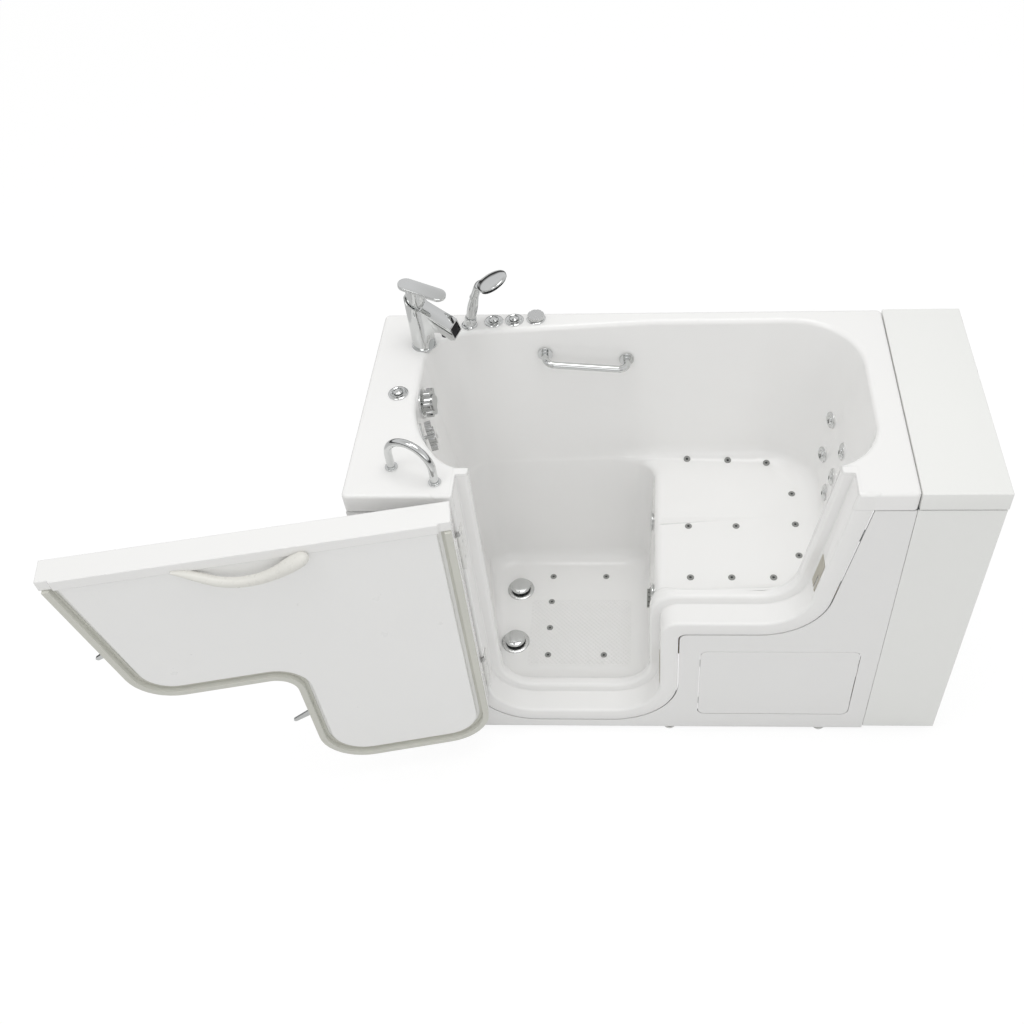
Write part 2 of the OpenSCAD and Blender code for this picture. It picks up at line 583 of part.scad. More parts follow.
// ---- door, drawn closed ----
cap_z = deck_z - cap_h;
door_y0 = -door_proud;
door_y1 = door_y0 + door_t;
pad_y = door_y1 + door_wall;
screw_rows = [-44, 14, 44];
screw_y = 12;
screw_r = 2.2;
module door_slab(y0, y1, inset, top) along_y(y0, y1 - y0) intersection() {
    doorway(inset);
    square([tub_l, top]);
}
module door_body() swung() color("white") difference() {
    door_slab(door_y0, door_y1, door_gap, cap_z);
    door_slab(door_y0 + door_wall, door_y1 + 1, door_gap + door_wall, cap_z - door_wall);
    for (i = [0, 1]) {
        latch_slot(i, 52);
        translate([latch_xs[i], door_y0 - 1, latch_zs[i]]) rotate([-90, 0, 0])
            disc(spindle_r + run_fit, door_wall + 2, 0, 32);
    }
    for (z = hinge_zs, s = screw_rows) translate([hinge_x + door_gap - 1, screw_y, z + s])
        rotate([0, 90, 0]) disc(screw_r + clear, door_wall + 2, 0, 24);
}
module door_top_cap() swung() color("white") {
    x0 = door_x + door_gap - 2;
    x1 = jamb_x(cap_z + cap_h / 2) - door_gap + 2;
    n = stop_w + 1;
    difference() {
        translate([0, 0, cap_z]) linear_extrude(cap_h)
            polygon([[x0, door_y0], [x1, door_y0], [x1 - 1, rebate_d - 8], [x1 - n, rebate_d - 8],
                [x1 - n - 4, door_y0 + cap_d], [x0 + n + 4, door_y0 + cap_d],
                [x0 + n, rebate_d - 8], [x0 + 1, rebate_d - 8]]);
        box([x0 + 6, door_y0 + 5, cap_z - 1], [x1 - 6, rebate_d - 14, deck_z - 5]);
    }
}
module door_inner_panel() swung() color("gainsboro") {
    door_slab(door_y1, pad_y, door_gap, cap_z);
    door_slab(pad_y, rebate_d - 6, panel_border, cap_z);
}
// Soft seal round the sides and the bottom, closing on the stop face
module door_gasket() swung() color("tan") difference() {
    door_slab(pad_y, rebate_d - 0.6, door_gap + 2, cap_z - 0.5);
    door_slab(pad_y - 1, rebate_d, stop_w - 3, cap_z + 1);
}
// Bowed pull on the inner edge of the top cap
handle_x = door_x + 467;
handle_z = deck_z - cap_h / 2;
bow_r = (pow(handle_w / 2, 2) + pow(handle_drop, 2)) / (2 * handle_drop);
bow_a = asin(handle_w / 2 / bow_r);
module door_handle() swung() color("ivory") {
    y = door_y0 + cap_d;
    bow_y = y + handle_r + 6;
    translate([handle_x, bow_y, handle_z]) rotate([handle_tilt, 0, 0])
        translate([0, 0, bow_r - handle_drop]) rotate([90, 0, 0]) rotate(270 - bow_a)
            rotate_extrude(angle = 2 * bow_a, $fn = 96) translate([bow_r, 0]) circle(r = handle_r, $fn = 32);
    // Moulded ends that seat on the cap
    for (s = [-1, 1]) rod([handle_x + s * (handle_w / 2 + 1), y, handle_z],
        [handle_x + s * (handle_w / 2 + 1), bow_y + handle_r + 2, handle_z], handle_r + 2);
}

// ---- hinges: two knuckles on the jamb, one on the door ----
knuckle_h = hinge_h / 3;
module knuckle(z0, z1) translate([hinge_x, hinge_y, z0]) ring(knuckle_r, pin_r + run_fit, z1 - z0);
module leaf(x0, z, spans) difference() {
    union() {
        box([x0, -1.5, z - hinge_h / 2], [x0 + leaf_t, 32, z + hinge_h / 2]);
        for (s = spans) {
            box([x0, hinge_y, s[0]], [x0 + leaf_t, 0, s[1]]);
            knuckle(s[0], s[1]);
        }
    }
    translate([hinge_x, hinge_y, z - hinge_h]) disc(pin_r + run_fit, 2 * hinge_h);
    for (s = screw_rows) translate([x0 - 1, screw_y, z + s]) rotate([0, 90, 0])
        disc(screw_r + 2 + clear, leaf_t + 2, 0, 32);
}
module hinge_jamb_leaves() place() color("silver") for (z = hinge_zs)
    leaf(hinge_x, z, [[z - hinge_h / 2, z - knuckle_h / 2 - clear],
        [z + knuckle_h / 2 + clear, z + hinge_h / 2]]);
module hinge_door_leaves() swung() color("silver") for (z = hinge_zs)
    leaf(hinge_x + door_gap - leaf_t, z, [[z - knuckle_h / 2, z + knuckle_h / 2]]);
module hinge_pins() place() color("silver") for (z = hinge_zs)
    translate([hinge_x, hinge_y, z - hinge_h / 2]) {
        disc(pin_r, hinge_h);
        disc(pin_r + 2, 3, -3);
        disc(pin_r + 2, 3, hinge_h);
    }
module leaf_screw(length) {
    disc(screw_r + 2, leaf_t, -leaf_t, 32);
    disc(screw_r, length, 0, 24);
}
module jamb_screws() place() color("silver") for (z = hinge_zs, s = screw_rows)
    translate([hinge_x, screw_y, z + s]) rotate([0, -90, 0]) leaf_screw(16);
module door_screws() swung() color("silver") for (z = hinge_zs, s = screw_rows)
    translate([hinge_x + door_gap, screw_y, z + s]) rotate([0, 90, 0]) leaf_screw(16);

// ---- latches: a lever outside, a cam inside the door's edge ----
spindle_r = 7;
lever_rest = -30;
module latch_lever(i) swung() color("silver")
    translate([latch_xs[i], door_y0, latch_zs[i]]) rotate([90, 0, 0]) {
    ring(15, spindle_r - 2, 6, 0.3);
    disc(13, 13, 6.3);
    rotate(lever_rest) translate([0, 0, 14.3]) linear_extrude(6) {
        circle(r = 14, $fn = 48);
        polygon([[0, -14], [lever_l - 6, -6], [lever_l - 6, 6], [0, 14]]);
        translate([lever_l - 6, 0]) circle(r = 6, $fn = 32);
    }
}
module latch_cam(i) swung() color("silver") translate([latch_xs[i], 0, latch_zs[i]]) {
    translate([0, door_y0 - 6, 0]) rotate([-90, 0, 0]) disc(spindle_r - 2 - run_fit, 6.1, 0, 32);
    translate([0, door_y0, 0]) rotate([-90, 0, 0]) disc(spindle_r, cam_y - door_y0, 0, 32);
    translate([0, cam_y + cam_t, 0]) rotate([90, 0, 0]) linear_extrude(cam_t) {
        circle(r = 12, $fn = 48);
        translate([-7, -cam_l + 7]) square([14, cam_l - 7]);
        translate([0, -cam_l + 7]) circle(r = 7, $fn = 32);
    }
}
module upper_latch_lever() latch_lever(0);
module upper_latch_cam() latch_cam(0);
module lower_latch_lever() latch_lever(1);
module lower_latch_cam() latch_cam(1);
strike_t = 1.5;
module strike(x0, x1, z0, z1) along_y(14, 40)
    polygon([[x0 - strike_t, z0], [x0, z0], [x1, z1], [x1 - strike_t, z1]]);
module strike_plates() place() color("tan") difference() {
    union() {
        let (z = latch_zs[0]) strike(jamb_x(z - 36), jamb_x(z + 64), z - 36, z + 64);
        let (z = latch_zs[1], x = seat_x + step_past) strike(x, x, z - 44, z + 60);
    }
    for (i = [0, 1]) latch_slot(i);
}

// ---- faucet: spout along +x, deck top at z = 0 ----
ball_r = 18;
ball_z = faucet_h + 6;
cartridge_r = 17;
spout_w = 46;
module at_faucet() place() translate([faucet_at[0], faucet_at[1], deck_z]) rotate(faucet_turn) children();
function spout_top(x) = faucet_h - 4 - (x + faucet_r) / 3;
module faucet_body() at_faucet() color("silver") difference() {
    union() {
        disc(faucet_r + 3, 3);
        intersection() {
            union() {
                disc(faucet_r, faucet_h);
                box([0, -spout_w / 2, 30], [spout_reach, spout_w / 2, faucet_h]);
            }
            along_y(-40, 80) polygon(rounded([[-faucet_r - 1, 0], [faucet_r - 8, 0], [faucet_r - 8, 38],
                [58, 66], [spout_reach - 8, 48], [spout_reach, 52],
                [spout_reach - 20, spout_top(spout_reach - 20)],
                [-faucet_r - 1, spout_top(-faucet_r - 1)]], [0, 0, 10, 14, 2, 2, 3, 0], 0, 15));
            disc(spout_reach + 20, faucet_h);
        }
        disc(faucet_r - 4, faucet_h);
        disc(faucet_r, 36);
        disc(deck_bore_r, 50, -50);
        for (y = [-8, 8]) translate([0, y, -tail_l]) disc(5, tail_l - 49, 0, 32);
    }
    disc(cartridge_r + run_fit, 60, faucet_h - 40);
    translate([aerator_x, 0, 44]) disc(aerator_r + run_fit, 24);
    rod([0, 0, faucet_h - 36], [aerator_x, 0, 64], 6);
    // Open slot of the spout's sloping end
    translate([spout_reach - 10, 0, 73]) rotate([0, 65, 0])
        box([-14, -spout_w / 2 + 6, -4], [14, spout_w / 2 - 6, 12]);
}
tail_l = 110;
aerator_x = 66;
aerator_r = 10;
module faucet_aerator() at_faucet() color("dimgray") translate([aerator_x, 0, 44]) difference() {
    disc(aerator_r, 20, 0);
    disc(aerator_r - 2, 4, -1);
    for (a = [0 : 60 : 300]) rotate(a) translate([5, 0, 0]) disc(1.5, 30, -1, 16);
}
module faucet_cartridge() at_faucet() color("silver") {
    disc(cartridge_r, 38, faucet_h - 38);
    ball([0, 0, ball_z], ball_r);
    rod([0, -pivot_y, ball_z], [0, pivot_y, ball_z], pin_r);
}
lever_z = ball_z + 22;
pivot_y = ball_r + 5;
ear_r = 5.5;
module faucet_lever() at_faucet() color("silver") difference() {
    union() {
        disc(24, 14, ball_z + 8);
        translate([0, 0, lever_z]) linear_extrude(11) {
            translate([-19, 0]) circle(r = 22, $fn = 64);
            translate([63, 0]) circle(r = 22, $fn = 64);
            translate([-19, -22]) square([82, 44]);
        }
        // Ears on the cross pin that the lever tips about
        for (s = [-1, 1]) {
            rod([0, s * (ball_r + 0.5), ball_z], [0, s * pivot_y, ball_z], ear_r);
            translate([-ear_r, s * (ball_r + pivot_y + 0.5) / 2 - 2.25, ball_z]) cube([2 * ear_r, 4.5, 9]);
        }
    }
    ball([0, 0, ball_z], ball_r + clear);
    rod([0, -pivot_y - 1, ball_z], [0, pivot_y + 1, ball_z], pin_r + run_fit);
}
// Ring nuts under the deck
module hex_nut(r, bore, h) difference() {
    cylinder(r = r, h = h, $fn = 6);
    disc(bore + run_fit, h + 2, -1);
}
module deck_nuts() place() color("silver") translate([0, 0, deck_z - shell_t]) {
    for (p = concat([air_control_at], button_at)) translate([p[0], p[1], -8]) hex_nut(20, deck_bore_r, 8);
    // The faucet's clamp is a horseshoe, open towards the basin
    translate([faucet_at[0], faucet_at[1], -8]) difference() {
        hex_nut(22, deck_bore_r, 8);
        rotate(-32) translate([4, -30, -1]) cube([30, 60, 10]);
    }
    translate([shower_at[0], shower_at[1], -8]) hex_nut(17.2, shower_shank_r, 8);
    for (p = arc_feet) translate([p[0], p[1], -5]) hex_nut(9, bolt_r, 5);
}

// ---- hand shower, on a line that leans towards the bather ----
shower_lean = 14.8;
shower_turn = -10;
module at_shower() place() translate([shower_at[0], shower_at[1], deck_z]) rotate(shower_turn) children();
module shower_socket() at_shower() color("silver") difference() {
    union() {
        disc(21, 5);
        translate([0, 0, 5]) cylinder(r1 = 18, r2 = 14, h = 10, $fn = 48);
        rotate([0, shower_lean, 0]) disc(15, 26, 4);
        disc(shower_shank_r, 46, -46);
    }
    rotate([0, shower_lean, 0]) {
        translate([0, 0, 14]) disc(11 + run_fit, 30);
        disc(8, 60, -35);
    }
    disc(8, 60, -50);
}
head_r = 42;
head_p = [76, 0, 146];
head_n = [0.676, 0, -0.737];
neck_p = 114 * [sin(shower_lean), 0, cos(shower_lean)];
module hand_shower() at_shower() color("silver") {
    rotate([0, shower_lean, 0]) {
        disc(11, 16, 14.5);
        translate([0, 0, 30.5]) {
            cylinder(r1 = 13, r2 = 14, h = 40, $fn = 48);
            translate([0, 0, 40]) cylinder(r1 = 14, r2 = 9, h = 48, $fn = 48);
        }
        translate([0, 0, 114]) sphere(r = 10, $fn = 48);
    }
    difference() {
        union() {
            rod(neck_p, head_p - 8 * head_n - [14, 0, 10], 9);
            facing(head_p, head_n) disc(head_r, 8, -6, 64);
            facing(head_p, head_n) translate([0, 0, -16]) cylinder(r1 = 26, r2 = head_r, h = 10, $fn = 64);
        }
        facing(head_p, head_n) disc(head_r - 4 + run_fit, 4, -1, 64);
    }
}
module shower_face() at_shower() color("dimgray") facing(head_p, head_n) {
    disc(head_r - 4, 4, -1, 64);
    for (r = [12, 22, 32], a = [0 : 360 / (r / 2) : 359]) rotate(a)
        translate([r, 0, 2.9]) disc(1.6, 2, 0, 16);
}

// ---- deck controls ----
button_r = 12;
bezel_h = 6;
module button_bezels() place() color("silver") for (p = concat(button_at, [air_control_at]))
    translate([p[0], p[1], deck_z]) difference() {
        union() {
            disc(bezel_r, 2);
            translate([0, 0, 2]) cylinder(r1 = bezel_r, r2 = bezel_r - 5, h = bezel_h - 2, $fn = 64);
            disc(deck_bore_r, 22, -22);
        }
        disc(button_r + run_fit, 60, -18);
    }
module button(i) place() color("silver") translate([button_at[i][0], button_at[i][1], deck_z]) {
    disc(button_r, 20, -12);
    translate([0, 0, 8]) cylinder(r1 = button_r, r2 = button_r - 3, h = 2.5, $fn = 48);
}
module jets_button() button(0);
module blower_button() button(1);
module light_button() button(2);
module air_control() place() color("silver") translate([air_control_at[0], air_control_at[1], deck_z]) {
    disc(button_r, 24, -16);
    difference() {
        disc(bezel_r - 3, 9, bezel_h + clear);
        for (a = [0 : 45 : 315]) rotate(a) translate([bezel_r - 1, 0, bezel_h - 1]) disc(3.5, 20, 0, 24);
    }
}

// ---- grab bars ----
arc_w = norm(arc_feet[1] - arc_feet[0]);
arc_leg = arc_h - bar_r - arc_w / 2;
module deck_grab_bar() place() color("silver") {
    d = arc_feet[1] - arc_feet[0];
    translate([arc_feet[0][0], arc_feet[0][1], deck_z]) rotate(atan2(d[1], d[0])) {
        for (x = [0, arc_w]) translate([x, 0, 0]) {
            disc(15, 4);
            disc(bar_r, arc_leg, 0);
            disc(bolt_r, 22, -22, 24);
        }
        translate([arc_w / 2, 0, arc_leg]) rotate([90, 0, 0]) rotate_extrude(angle = 180, $fn = 96)
            translate([arc_w / 2, 0]) circle(r = bar_r, $fn = 32);
    }
}
module wall_grab_bar() place() at_wall_bar() color("silver") {
    bend = 26;
    y = -wall_bar_out;
    for (s = [0, 1]) translate([s * wall_bar_w, 0, 0]) mirror([s, 0, 0]) {
        translate([0, -pad_rise, 0]) rotate([90, 0, 0]) {
            disc(bar_foot_r, 5);
            disc(bar_r, wall_bar_out - bend - pad_rise);
            disc(bolt_r, 25, -25, 24);
        }
        translate([bend, y + bend, 0]) rotate(180) rotate_extrude(angle = 90, $fn = 96)
            translate([bend, 0]) circle(r = bar_r, $fn = 32);
    }
    rod([bend, y, 0], [wall_bar_w - bend, y, 0], bar_r);
}

// ---- drains ----
waste_z = 34;
hub_r = 6;
module drain_bodies() place() color("silver") for (p = drain_at) translate([p[0], p[1], floor_z]) {
    ring(drain_r, drain_tail_r - 4, 3);
    ring(drain_tail_r, drain_tail_r - 4, 31, -31);
    ring(hub_r, 3 + run_fit, 14, -20);
    for (a = [0, 120, 240]) rotate(a) translate([hub_r - 1, -1.5, -20])
        cube([drain_tail_r - hub_r - 4 + 1.5, 3, 10]);
}
module stopper(i) place() color("silver")
    translate([drain_at[i][0], drain_at[i][1], floor_z + 3 + stopper_lift]) {
    disc(drain_r - 9, 5);
    translate([0, 0, 5]) cylinder(r1 = drain_r - 9, r2 = drain_r - 15, h = 3, $fn = 48);
    disc(3, 44, -44, 24);
}
module rear_stopper() stopper(0);
module front_stopper() stopper(1);
riser_x = 82;
function overflow_end(i) = wall_pt(knob_at[i]) - 30 * wall_n(knob_at[i]);
module waste_pipes() place() color("dimgray") difference() {
    union() for (i = [0, 1]) let (p = drain_at[i], o = overflow_end(i)) {
        translate([p[0], p[1], 0]) disc(drain_tail_r + 1, floor_z - 31 - 14, 14);
        pipe([[p[0], p[1], waste_z], [riser_x, o[1], waste_z], [riser_x, o[1], o[2]],
            o], waste_r);
        pipe([[p[0], p[1], waste_z], [drain_at[0][0], 470, waste_z], [drain_at[0][0], 600, waste_z]],
            waste_r);
    }
    for (p = drain_at) translate([p[0], p[1], 0]) disc(drain_tail_r - 4, 60, 20);
    translate([drain_at[0][0], 520, waste_z]) rotate([-90, 0, 0]) disc(waste_r - 4, 100);
}
module overflow_plates() place() color("silver") for (w = knob_at) on_wall(w) {
    ring(plate_r, 4 + run_fit, 4);
    ring(waste_r, 4 + run_fit, 24, -24);
}
module drain_knob(w) place() color("silver") on_wall(w) {
    disc(4, 20, -16, 24);
    translate([0, 0, 4 + clear]) {
        disc(knob_r - 7, 16);
        for (a = [0 : 60 : 300]) rotate(a) translate([knob_r - 9, 0, 0]) disc(9, 16, 0, 32);
        disc(knob_r - 14, 19);
    }
}
module rear_drain_knob() drain_knob(knob_at[0]);
module front_drain_knob() drain_knob(knob_at[1]);

// ---- jets ----
nozzle_r = 12;
jet_l = 40;
module jet_bodies() place() color("silver") {
    for (w = back_jets) on_wall(w) difference() {
        union() {
            disc(jet_r, 2);
            translate([0, 0, 2]) cylinder(r1 = jet_r, r2 = jet_r - 3, h = 2, $fn = 48);
            disc(jet_shank_r, jet_l, -jet_l);
        }
        disc(nozzle_r + run_fit, 50, -14);
    }
    for (w = foot_jets) on_wall(w) difference() {
        union() {
            disc(jet_r, 2);
            translate([0, 0, 2]) cylinder(r1 = jet_r, r2 = jet_r - 6, h = 3, $fn = 48);
            disc(jet_shank_r, jet_l, -jet_l);
        }
        for (a = [0 : 60 : 300]) rotate(a) translate([9, 0, -20]) disc(2.5, 50, 0, 16);
        disc(4, 50, -20, 24);
    }
}
module nozzle(w) place() color("gainsboro") on_wall(w) difference() {
    union() {
        disc(nozzle_r, 17, -13);
        translate([0, 0, 4]) cylinder(r1 = nozzle_r, r2 = nozzle_r - 3, h = 3, $fn = 48);
    }
    translate([3, 0, 0]) disc(5, 40, -20, 32);
}
module back_nozzle_1() nozzle(back_jets[0]);
module back_nozzle_2() nozzle(back_jets[1]);
module back_nozzle_3() nozzle(back_jets[2]);
module back_nozzle_4() nozzle(back_jets[3]);
module back_nozzle_5() nozzle(back_jets[4]);
module suction_cover() place() color("gainsboro") on_wall(suction_at) difference() {
    union() {
        disc(suction_r, 4);
        disc(suction_r - 5, 12);
        disc(jet_shank_r, jet_l, -jet_l);
    }
    disc(jet_shank_r - 4, 50, -jet_l - 2);
    for (a = [0 : 30 : 330]) rotate(a) translate([14, -1.5, 5]) cube([20, 3, 5]);
}
module air_button() {
    disc(air_r, 2, 0, 32);
    disc(air_r / 2, 16, -16, 24);
}
module air_jets() place() color("darkgray") {
    for (p = concat(floor_jets, seat_jets)) translate(p) air_button();
    for (w = seat_back_jets) facing(wall_pt(w), wall_n(w)) translate([0, 0, 1.5]) air_button();
}

// ---- plant under the seat ----
pump_at = [rail_x[3] + 40, (trestle_y[0] + trestle_y[1] + tube_w) / 2 - 2,
    rail_z1 + plant_board_t + motor_r + 17];
wet_r = motor_r + 12;
wet_l = 62;
module jet_pump() place() color("dimgray") translate(pump_at) {
    rotate([0, 90, 0]) {
        disc(wet_r, wet_l, 0, 64);
        disc(motor_r, motor_l, wet_l, 64);
        disc(motor_r - 8, 12, wet_l + motor_l, 64);
        disc(water_r + 8, 14, -14);
    }
    disc(water_r + 8, 20, wet_r - 6);
    for (x = [10, wet_l + motor_l - 60])
        box([x, -50, -motor_r - 17], [x + 36, 50, -motor_r + 20]);
}
blower_at = [rail_x[4] + blower_r + 36, board_y[0] + 85, rail_z1 + plant_board_t];
module air_blower() place() color("dimgray") translate(blower_at) {
    disc(blower_r, 60, 0, 64);
    disc(blower_r - 14, blower_l - 60, 60, 64);
    rod([-30, -20, 30], [-30, -blower_r - 26, 30], water_r + 4);
}
module control_box() place() color("lightgray") {
    a = [rail_x[4] + 35, board_y[1] - 100, rail_z1 + plant_board_t];
    box(a, a + [control_w, control_d, control_h]);
    box(a + [-3, -3, control_h - 50], a + [control_w + 3, control_d + 3, control_h - 44]);
    for (s = [-1, 0, 1]) rod(a + [control_w / 2, control_d / 2 + 28 * s, control_h - 5],
        a + [control_w / 2, control_d / 2 + 28 * s, control_h + 14], 9);
}
function jet_tail(w) = wall_pt(w) + (pad_rise - jet_l) * wall_n(w);
back_riser = [tub_l - 58, tub_w - 220];
lift_z = 330;
foot_pipe_r = 10;
module jet_pipes() place() color("whitesmoke") difference() {
    out = pump_at + [0, 0, wet_r + 14];
    union() {
        // Pressure side: pump to the riser behind the backrest, and a branch to each jet
        pipe([out, [out[0], out[1], lift_z], [back_riser[0], back_riser[1], lift_z],
            [back_riser[0], back_riser[1], 815]], water_r);
        for (w = back_jets) let (t = jet_tail(w)) rod(t, [back_riser[0], back_riser[1], t[2]], foot_pipe_r);
    }
    for (w = back_jets) on_wall(w) disc(jet_shank_r + clear, jet_l + 20, -jet_l - 0.2);
}

tub_shell();
front_apron();
access_panel();
end_panel();
extension_top();
extension_front();
extension_end();
support_frame();
bearer_boards();
levelling_feet();
panel_catches();
door_body();
door_top_cap();
door_inner_panel();
door_gasket();
door_handle();
hinge_jamb_leaves();
hinge_door_leaves();
hinge_pins();
jamb_screws();
door_screws();
upper_latch_lever();
upper_latch_cam();
lower_latch_lever();
lower_latch_cam();
strike_plates();
faucet_body();
faucet_cartridge();
faucet_lever();
faucet_aerator();
deck_nuts();
shower_socket();
hand_shower();
shower_face();
button_bezels();
jets_button();
blower_button();
light_button();
air_control();
deck_grab_bar();
wall_grab_bar();
drain_bodies();
rear_stopper();
front_stopper();
waste_pipes();
overflow_plates();
rear_drain_knob();
front_drain_knob();
jet_bodies();
back_nozzle_1();
back_nozzle_2();
back_nozzle_3();
back_nozzle_4();
back_nozzle_5();
suction_cover();
air_jets();
jet_pump();
air_blower();
jet_pipes();
control_box();
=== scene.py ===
import json
from math import atan2, cos, pi, radians, sin, sqrt, tan

import bpy
from mathutils import Matrix, Vector

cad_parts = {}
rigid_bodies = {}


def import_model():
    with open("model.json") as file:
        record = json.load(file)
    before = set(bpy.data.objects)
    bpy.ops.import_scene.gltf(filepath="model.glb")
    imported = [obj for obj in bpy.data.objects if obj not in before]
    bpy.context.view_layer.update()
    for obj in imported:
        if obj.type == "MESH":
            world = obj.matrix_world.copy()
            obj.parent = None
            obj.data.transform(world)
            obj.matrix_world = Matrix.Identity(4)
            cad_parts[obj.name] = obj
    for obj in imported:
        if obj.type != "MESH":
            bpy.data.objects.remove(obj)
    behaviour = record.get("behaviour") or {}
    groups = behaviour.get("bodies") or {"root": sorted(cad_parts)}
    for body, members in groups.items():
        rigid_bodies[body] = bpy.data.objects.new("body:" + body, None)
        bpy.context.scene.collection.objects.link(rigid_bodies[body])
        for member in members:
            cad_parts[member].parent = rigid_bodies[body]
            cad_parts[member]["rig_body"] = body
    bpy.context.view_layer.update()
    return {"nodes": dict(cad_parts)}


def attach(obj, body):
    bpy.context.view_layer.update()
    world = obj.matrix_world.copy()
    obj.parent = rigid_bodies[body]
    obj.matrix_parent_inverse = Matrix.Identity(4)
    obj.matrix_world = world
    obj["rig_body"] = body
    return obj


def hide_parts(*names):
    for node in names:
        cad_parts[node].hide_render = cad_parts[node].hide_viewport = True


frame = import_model()

# ---- Camera ----
# The photograph's own view: from above the front, a little to the right,
# with the slight roll and off-centre axis that its straight edges give.
az, el, roll = radians(3.89), radians(47.10), radians(-3.06)
back = Vector((sin(az) * cos(el), -cos(az) * cos(el), sin(el)))
right = (-back).cross(Vector((0, 0, 1))).normalized()
up = right.cross(-back)
cam_x = right * cos(roll) + up * sin(roll)
cam_y = up * cos(roll) - right * sin(roll)
bpy.ops.object.camera_add()
camera = bpy.context.object
camera.name = "camera"
turn = Matrix((cam_x, cam_y, back)).transposed().to_4x4()
eye = (0.0539, -2.0275, 2.9042)
camera.matrix_world = Matrix.Translation(eye) @ turn
camera.data.sensor_width = 36
camera.data.lens = 39.336
camera.data.shift_x = -0.0859
camera.data.shift_y = -0.03125
camera.data.clip_end = 60
bpy.context.scene.camera = camera

# ---- Studio ----
# White surroundings: even light from all sides, with a dark band low down
# that only reflections see, so that chrome reads as chrome.
scene = bpy.context.scene
scene.render.resolution_x = scene.render.resolution_y = 1024
scene.view_settings.view_transform = "Standard"
world = bpy.data.worlds.new("studio")
scene.world = world
world.use_nodes = True
nodes, links = world.node_tree.nodes, world.node_tree.links
nodes.clear()
path = nodes.new("ShaderNodeLightPath")
glow = nodes.new("ShaderNodeBackground")
glow.inputs["Color"].default_value = (0.985, 0.985, 0.98, 1)
glow.inputs["Strength"].default_value = 0.71
white = nodes.new("ShaderNodeBackground")
white.inputs["Color"].default_value = (1, 1, 1, 1)
white.inputs["Strength"].default_value = 1.0
room = nodes.new("ShaderNodeBackground")
room.inputs["Strength"].default_value = 1.0
where = nodes.new("ShaderNodeTexCoord")
split = nodes.new("ShaderNodeSeparateXYZ")
band = nodes.new("ShaderNodeValToRGB")
band.color_ramp.elements[0].position = 0.0
band.color_ramp.elements[0].color = (0.62, 0.62, 0.63, 1)
band.color_ramp.elements[1].position = 1.0
band.color_ramp.elements[1].color = (0.58, 0.58, 0.57, 1)
for place, level in ((0.40, 0.50), (0.49, 0.05), (0.55, 0.06), (0.60, 0.75), (0.80, 0.80)):
    stop = band.color_ramp.elements.new(place)
    stop.color = (level, level, level * 1.01, 1)
height = nodes.new("ShaderNodeMapRange")
height.inputs["From Min"].default_value = -1
links.new(where.outputs["Generated"], split.inputs[0])
links.new(split.outputs["Z"], height.inputs["Value"])
links.new(height.outputs[0], band.inputs["Fac"])
links.new(band.outputs["Color"], room.inputs["Color"])
first = nodes.new("ShaderNodeMixShader")
links.new(path.outputs["Is Glossy Ray"], first.inputs["Fac"])
links.new(glow.outputs[0], first.inputs[1])
links.new(room.outputs[0], first.inputs[2])
seen = nodes.new("ShaderNodeMath")
seen.operation = "ADD"
seen.use_clamp = True
links.new(path.outputs["Is Camera Ray"], seen.inputs[0])
links.new(path.outputs["Is Transmission Ray"], seen.inputs[1])
second = nodes.new("ShaderNodeMixShader")
links.new(seen.outputs[0], second.inputs["Fac"])
links.new(first.outputs[0], second.inputs[1])
links.new(white.outputs[0], second.inputs[2])
out = nodes.new("ShaderNodeOutputWorld")
links.new(second.outputs[0], out.inputs["Surface"])

for name, at, aim, wide, power in (
    ("key", (-1.6, -1.2, 4.2), (0, 0, 0.6), 1.2, 11),
    ("front", (0.8, -4.4, 2.2), (0, 0, 0.6), 2.4, 13),
    ("top", (0.2, 0.0, 4.6), (0.1, 0, 0.5), 1.8, 32),
):
    bpy.ops.object.light_add(type="AREA", location=at)
    lamp = bpy.context.object
    lamp.name = name
    lamp.data.size = wide
    lamp.data.energy = power
    lamp.rotation_euler = (Vector(aim) - Vector(at)).to_track_quat("-Z", "Y").to_euler()

# ---- Floor ----
# A white studio floor. It is nearly as bright as the background, and keeps
# only a soft shadow under the tub and the open door.
bpy.ops.mesh.primitive_plane_add(size=24, location=(0, 4, 0))
floor = bpy.context.object
floor.name = "floor"
bpy.ops.object.transform_apply()
mat = bpy.data.materials.new("studio_floor")
mat.use_nodes = True
nodes, links = mat.node_tree.nodes, mat.node_tree.links
nodes.clear()
path = nodes.new("ShaderNodeLightPath")
matt = nodes.new("ShaderNodeBsdfDiffuse")
matt.inputs["Color"].default_value = (0.80, 0.80, 0.80, 1)
white = nodes.new("ShaderNodeEmission")
white.inputs["Strength"].default_value = 1.1
share = nodes.new("ShaderNodeMath")
share.operation = "MULTIPLY"
share.inputs[1].default_value = 0.80
mixed = nodes.new("ShaderNodeMixShader")
out = nodes.new("ShaderNodeOutputMaterial")
links.new(path.outputs["Is Camera Ray"], share.inputs[0])
links.new(share.outputs[0], mixed.inputs["Fac"])
links.new(matt.outputs[0], mixed.inputs[1])
links.new(white.outputs[0], mixed.inputs[2])
links.new(mixed.outputs[0], out.inputs["Surface"])
floor.data.materials.append(mat)

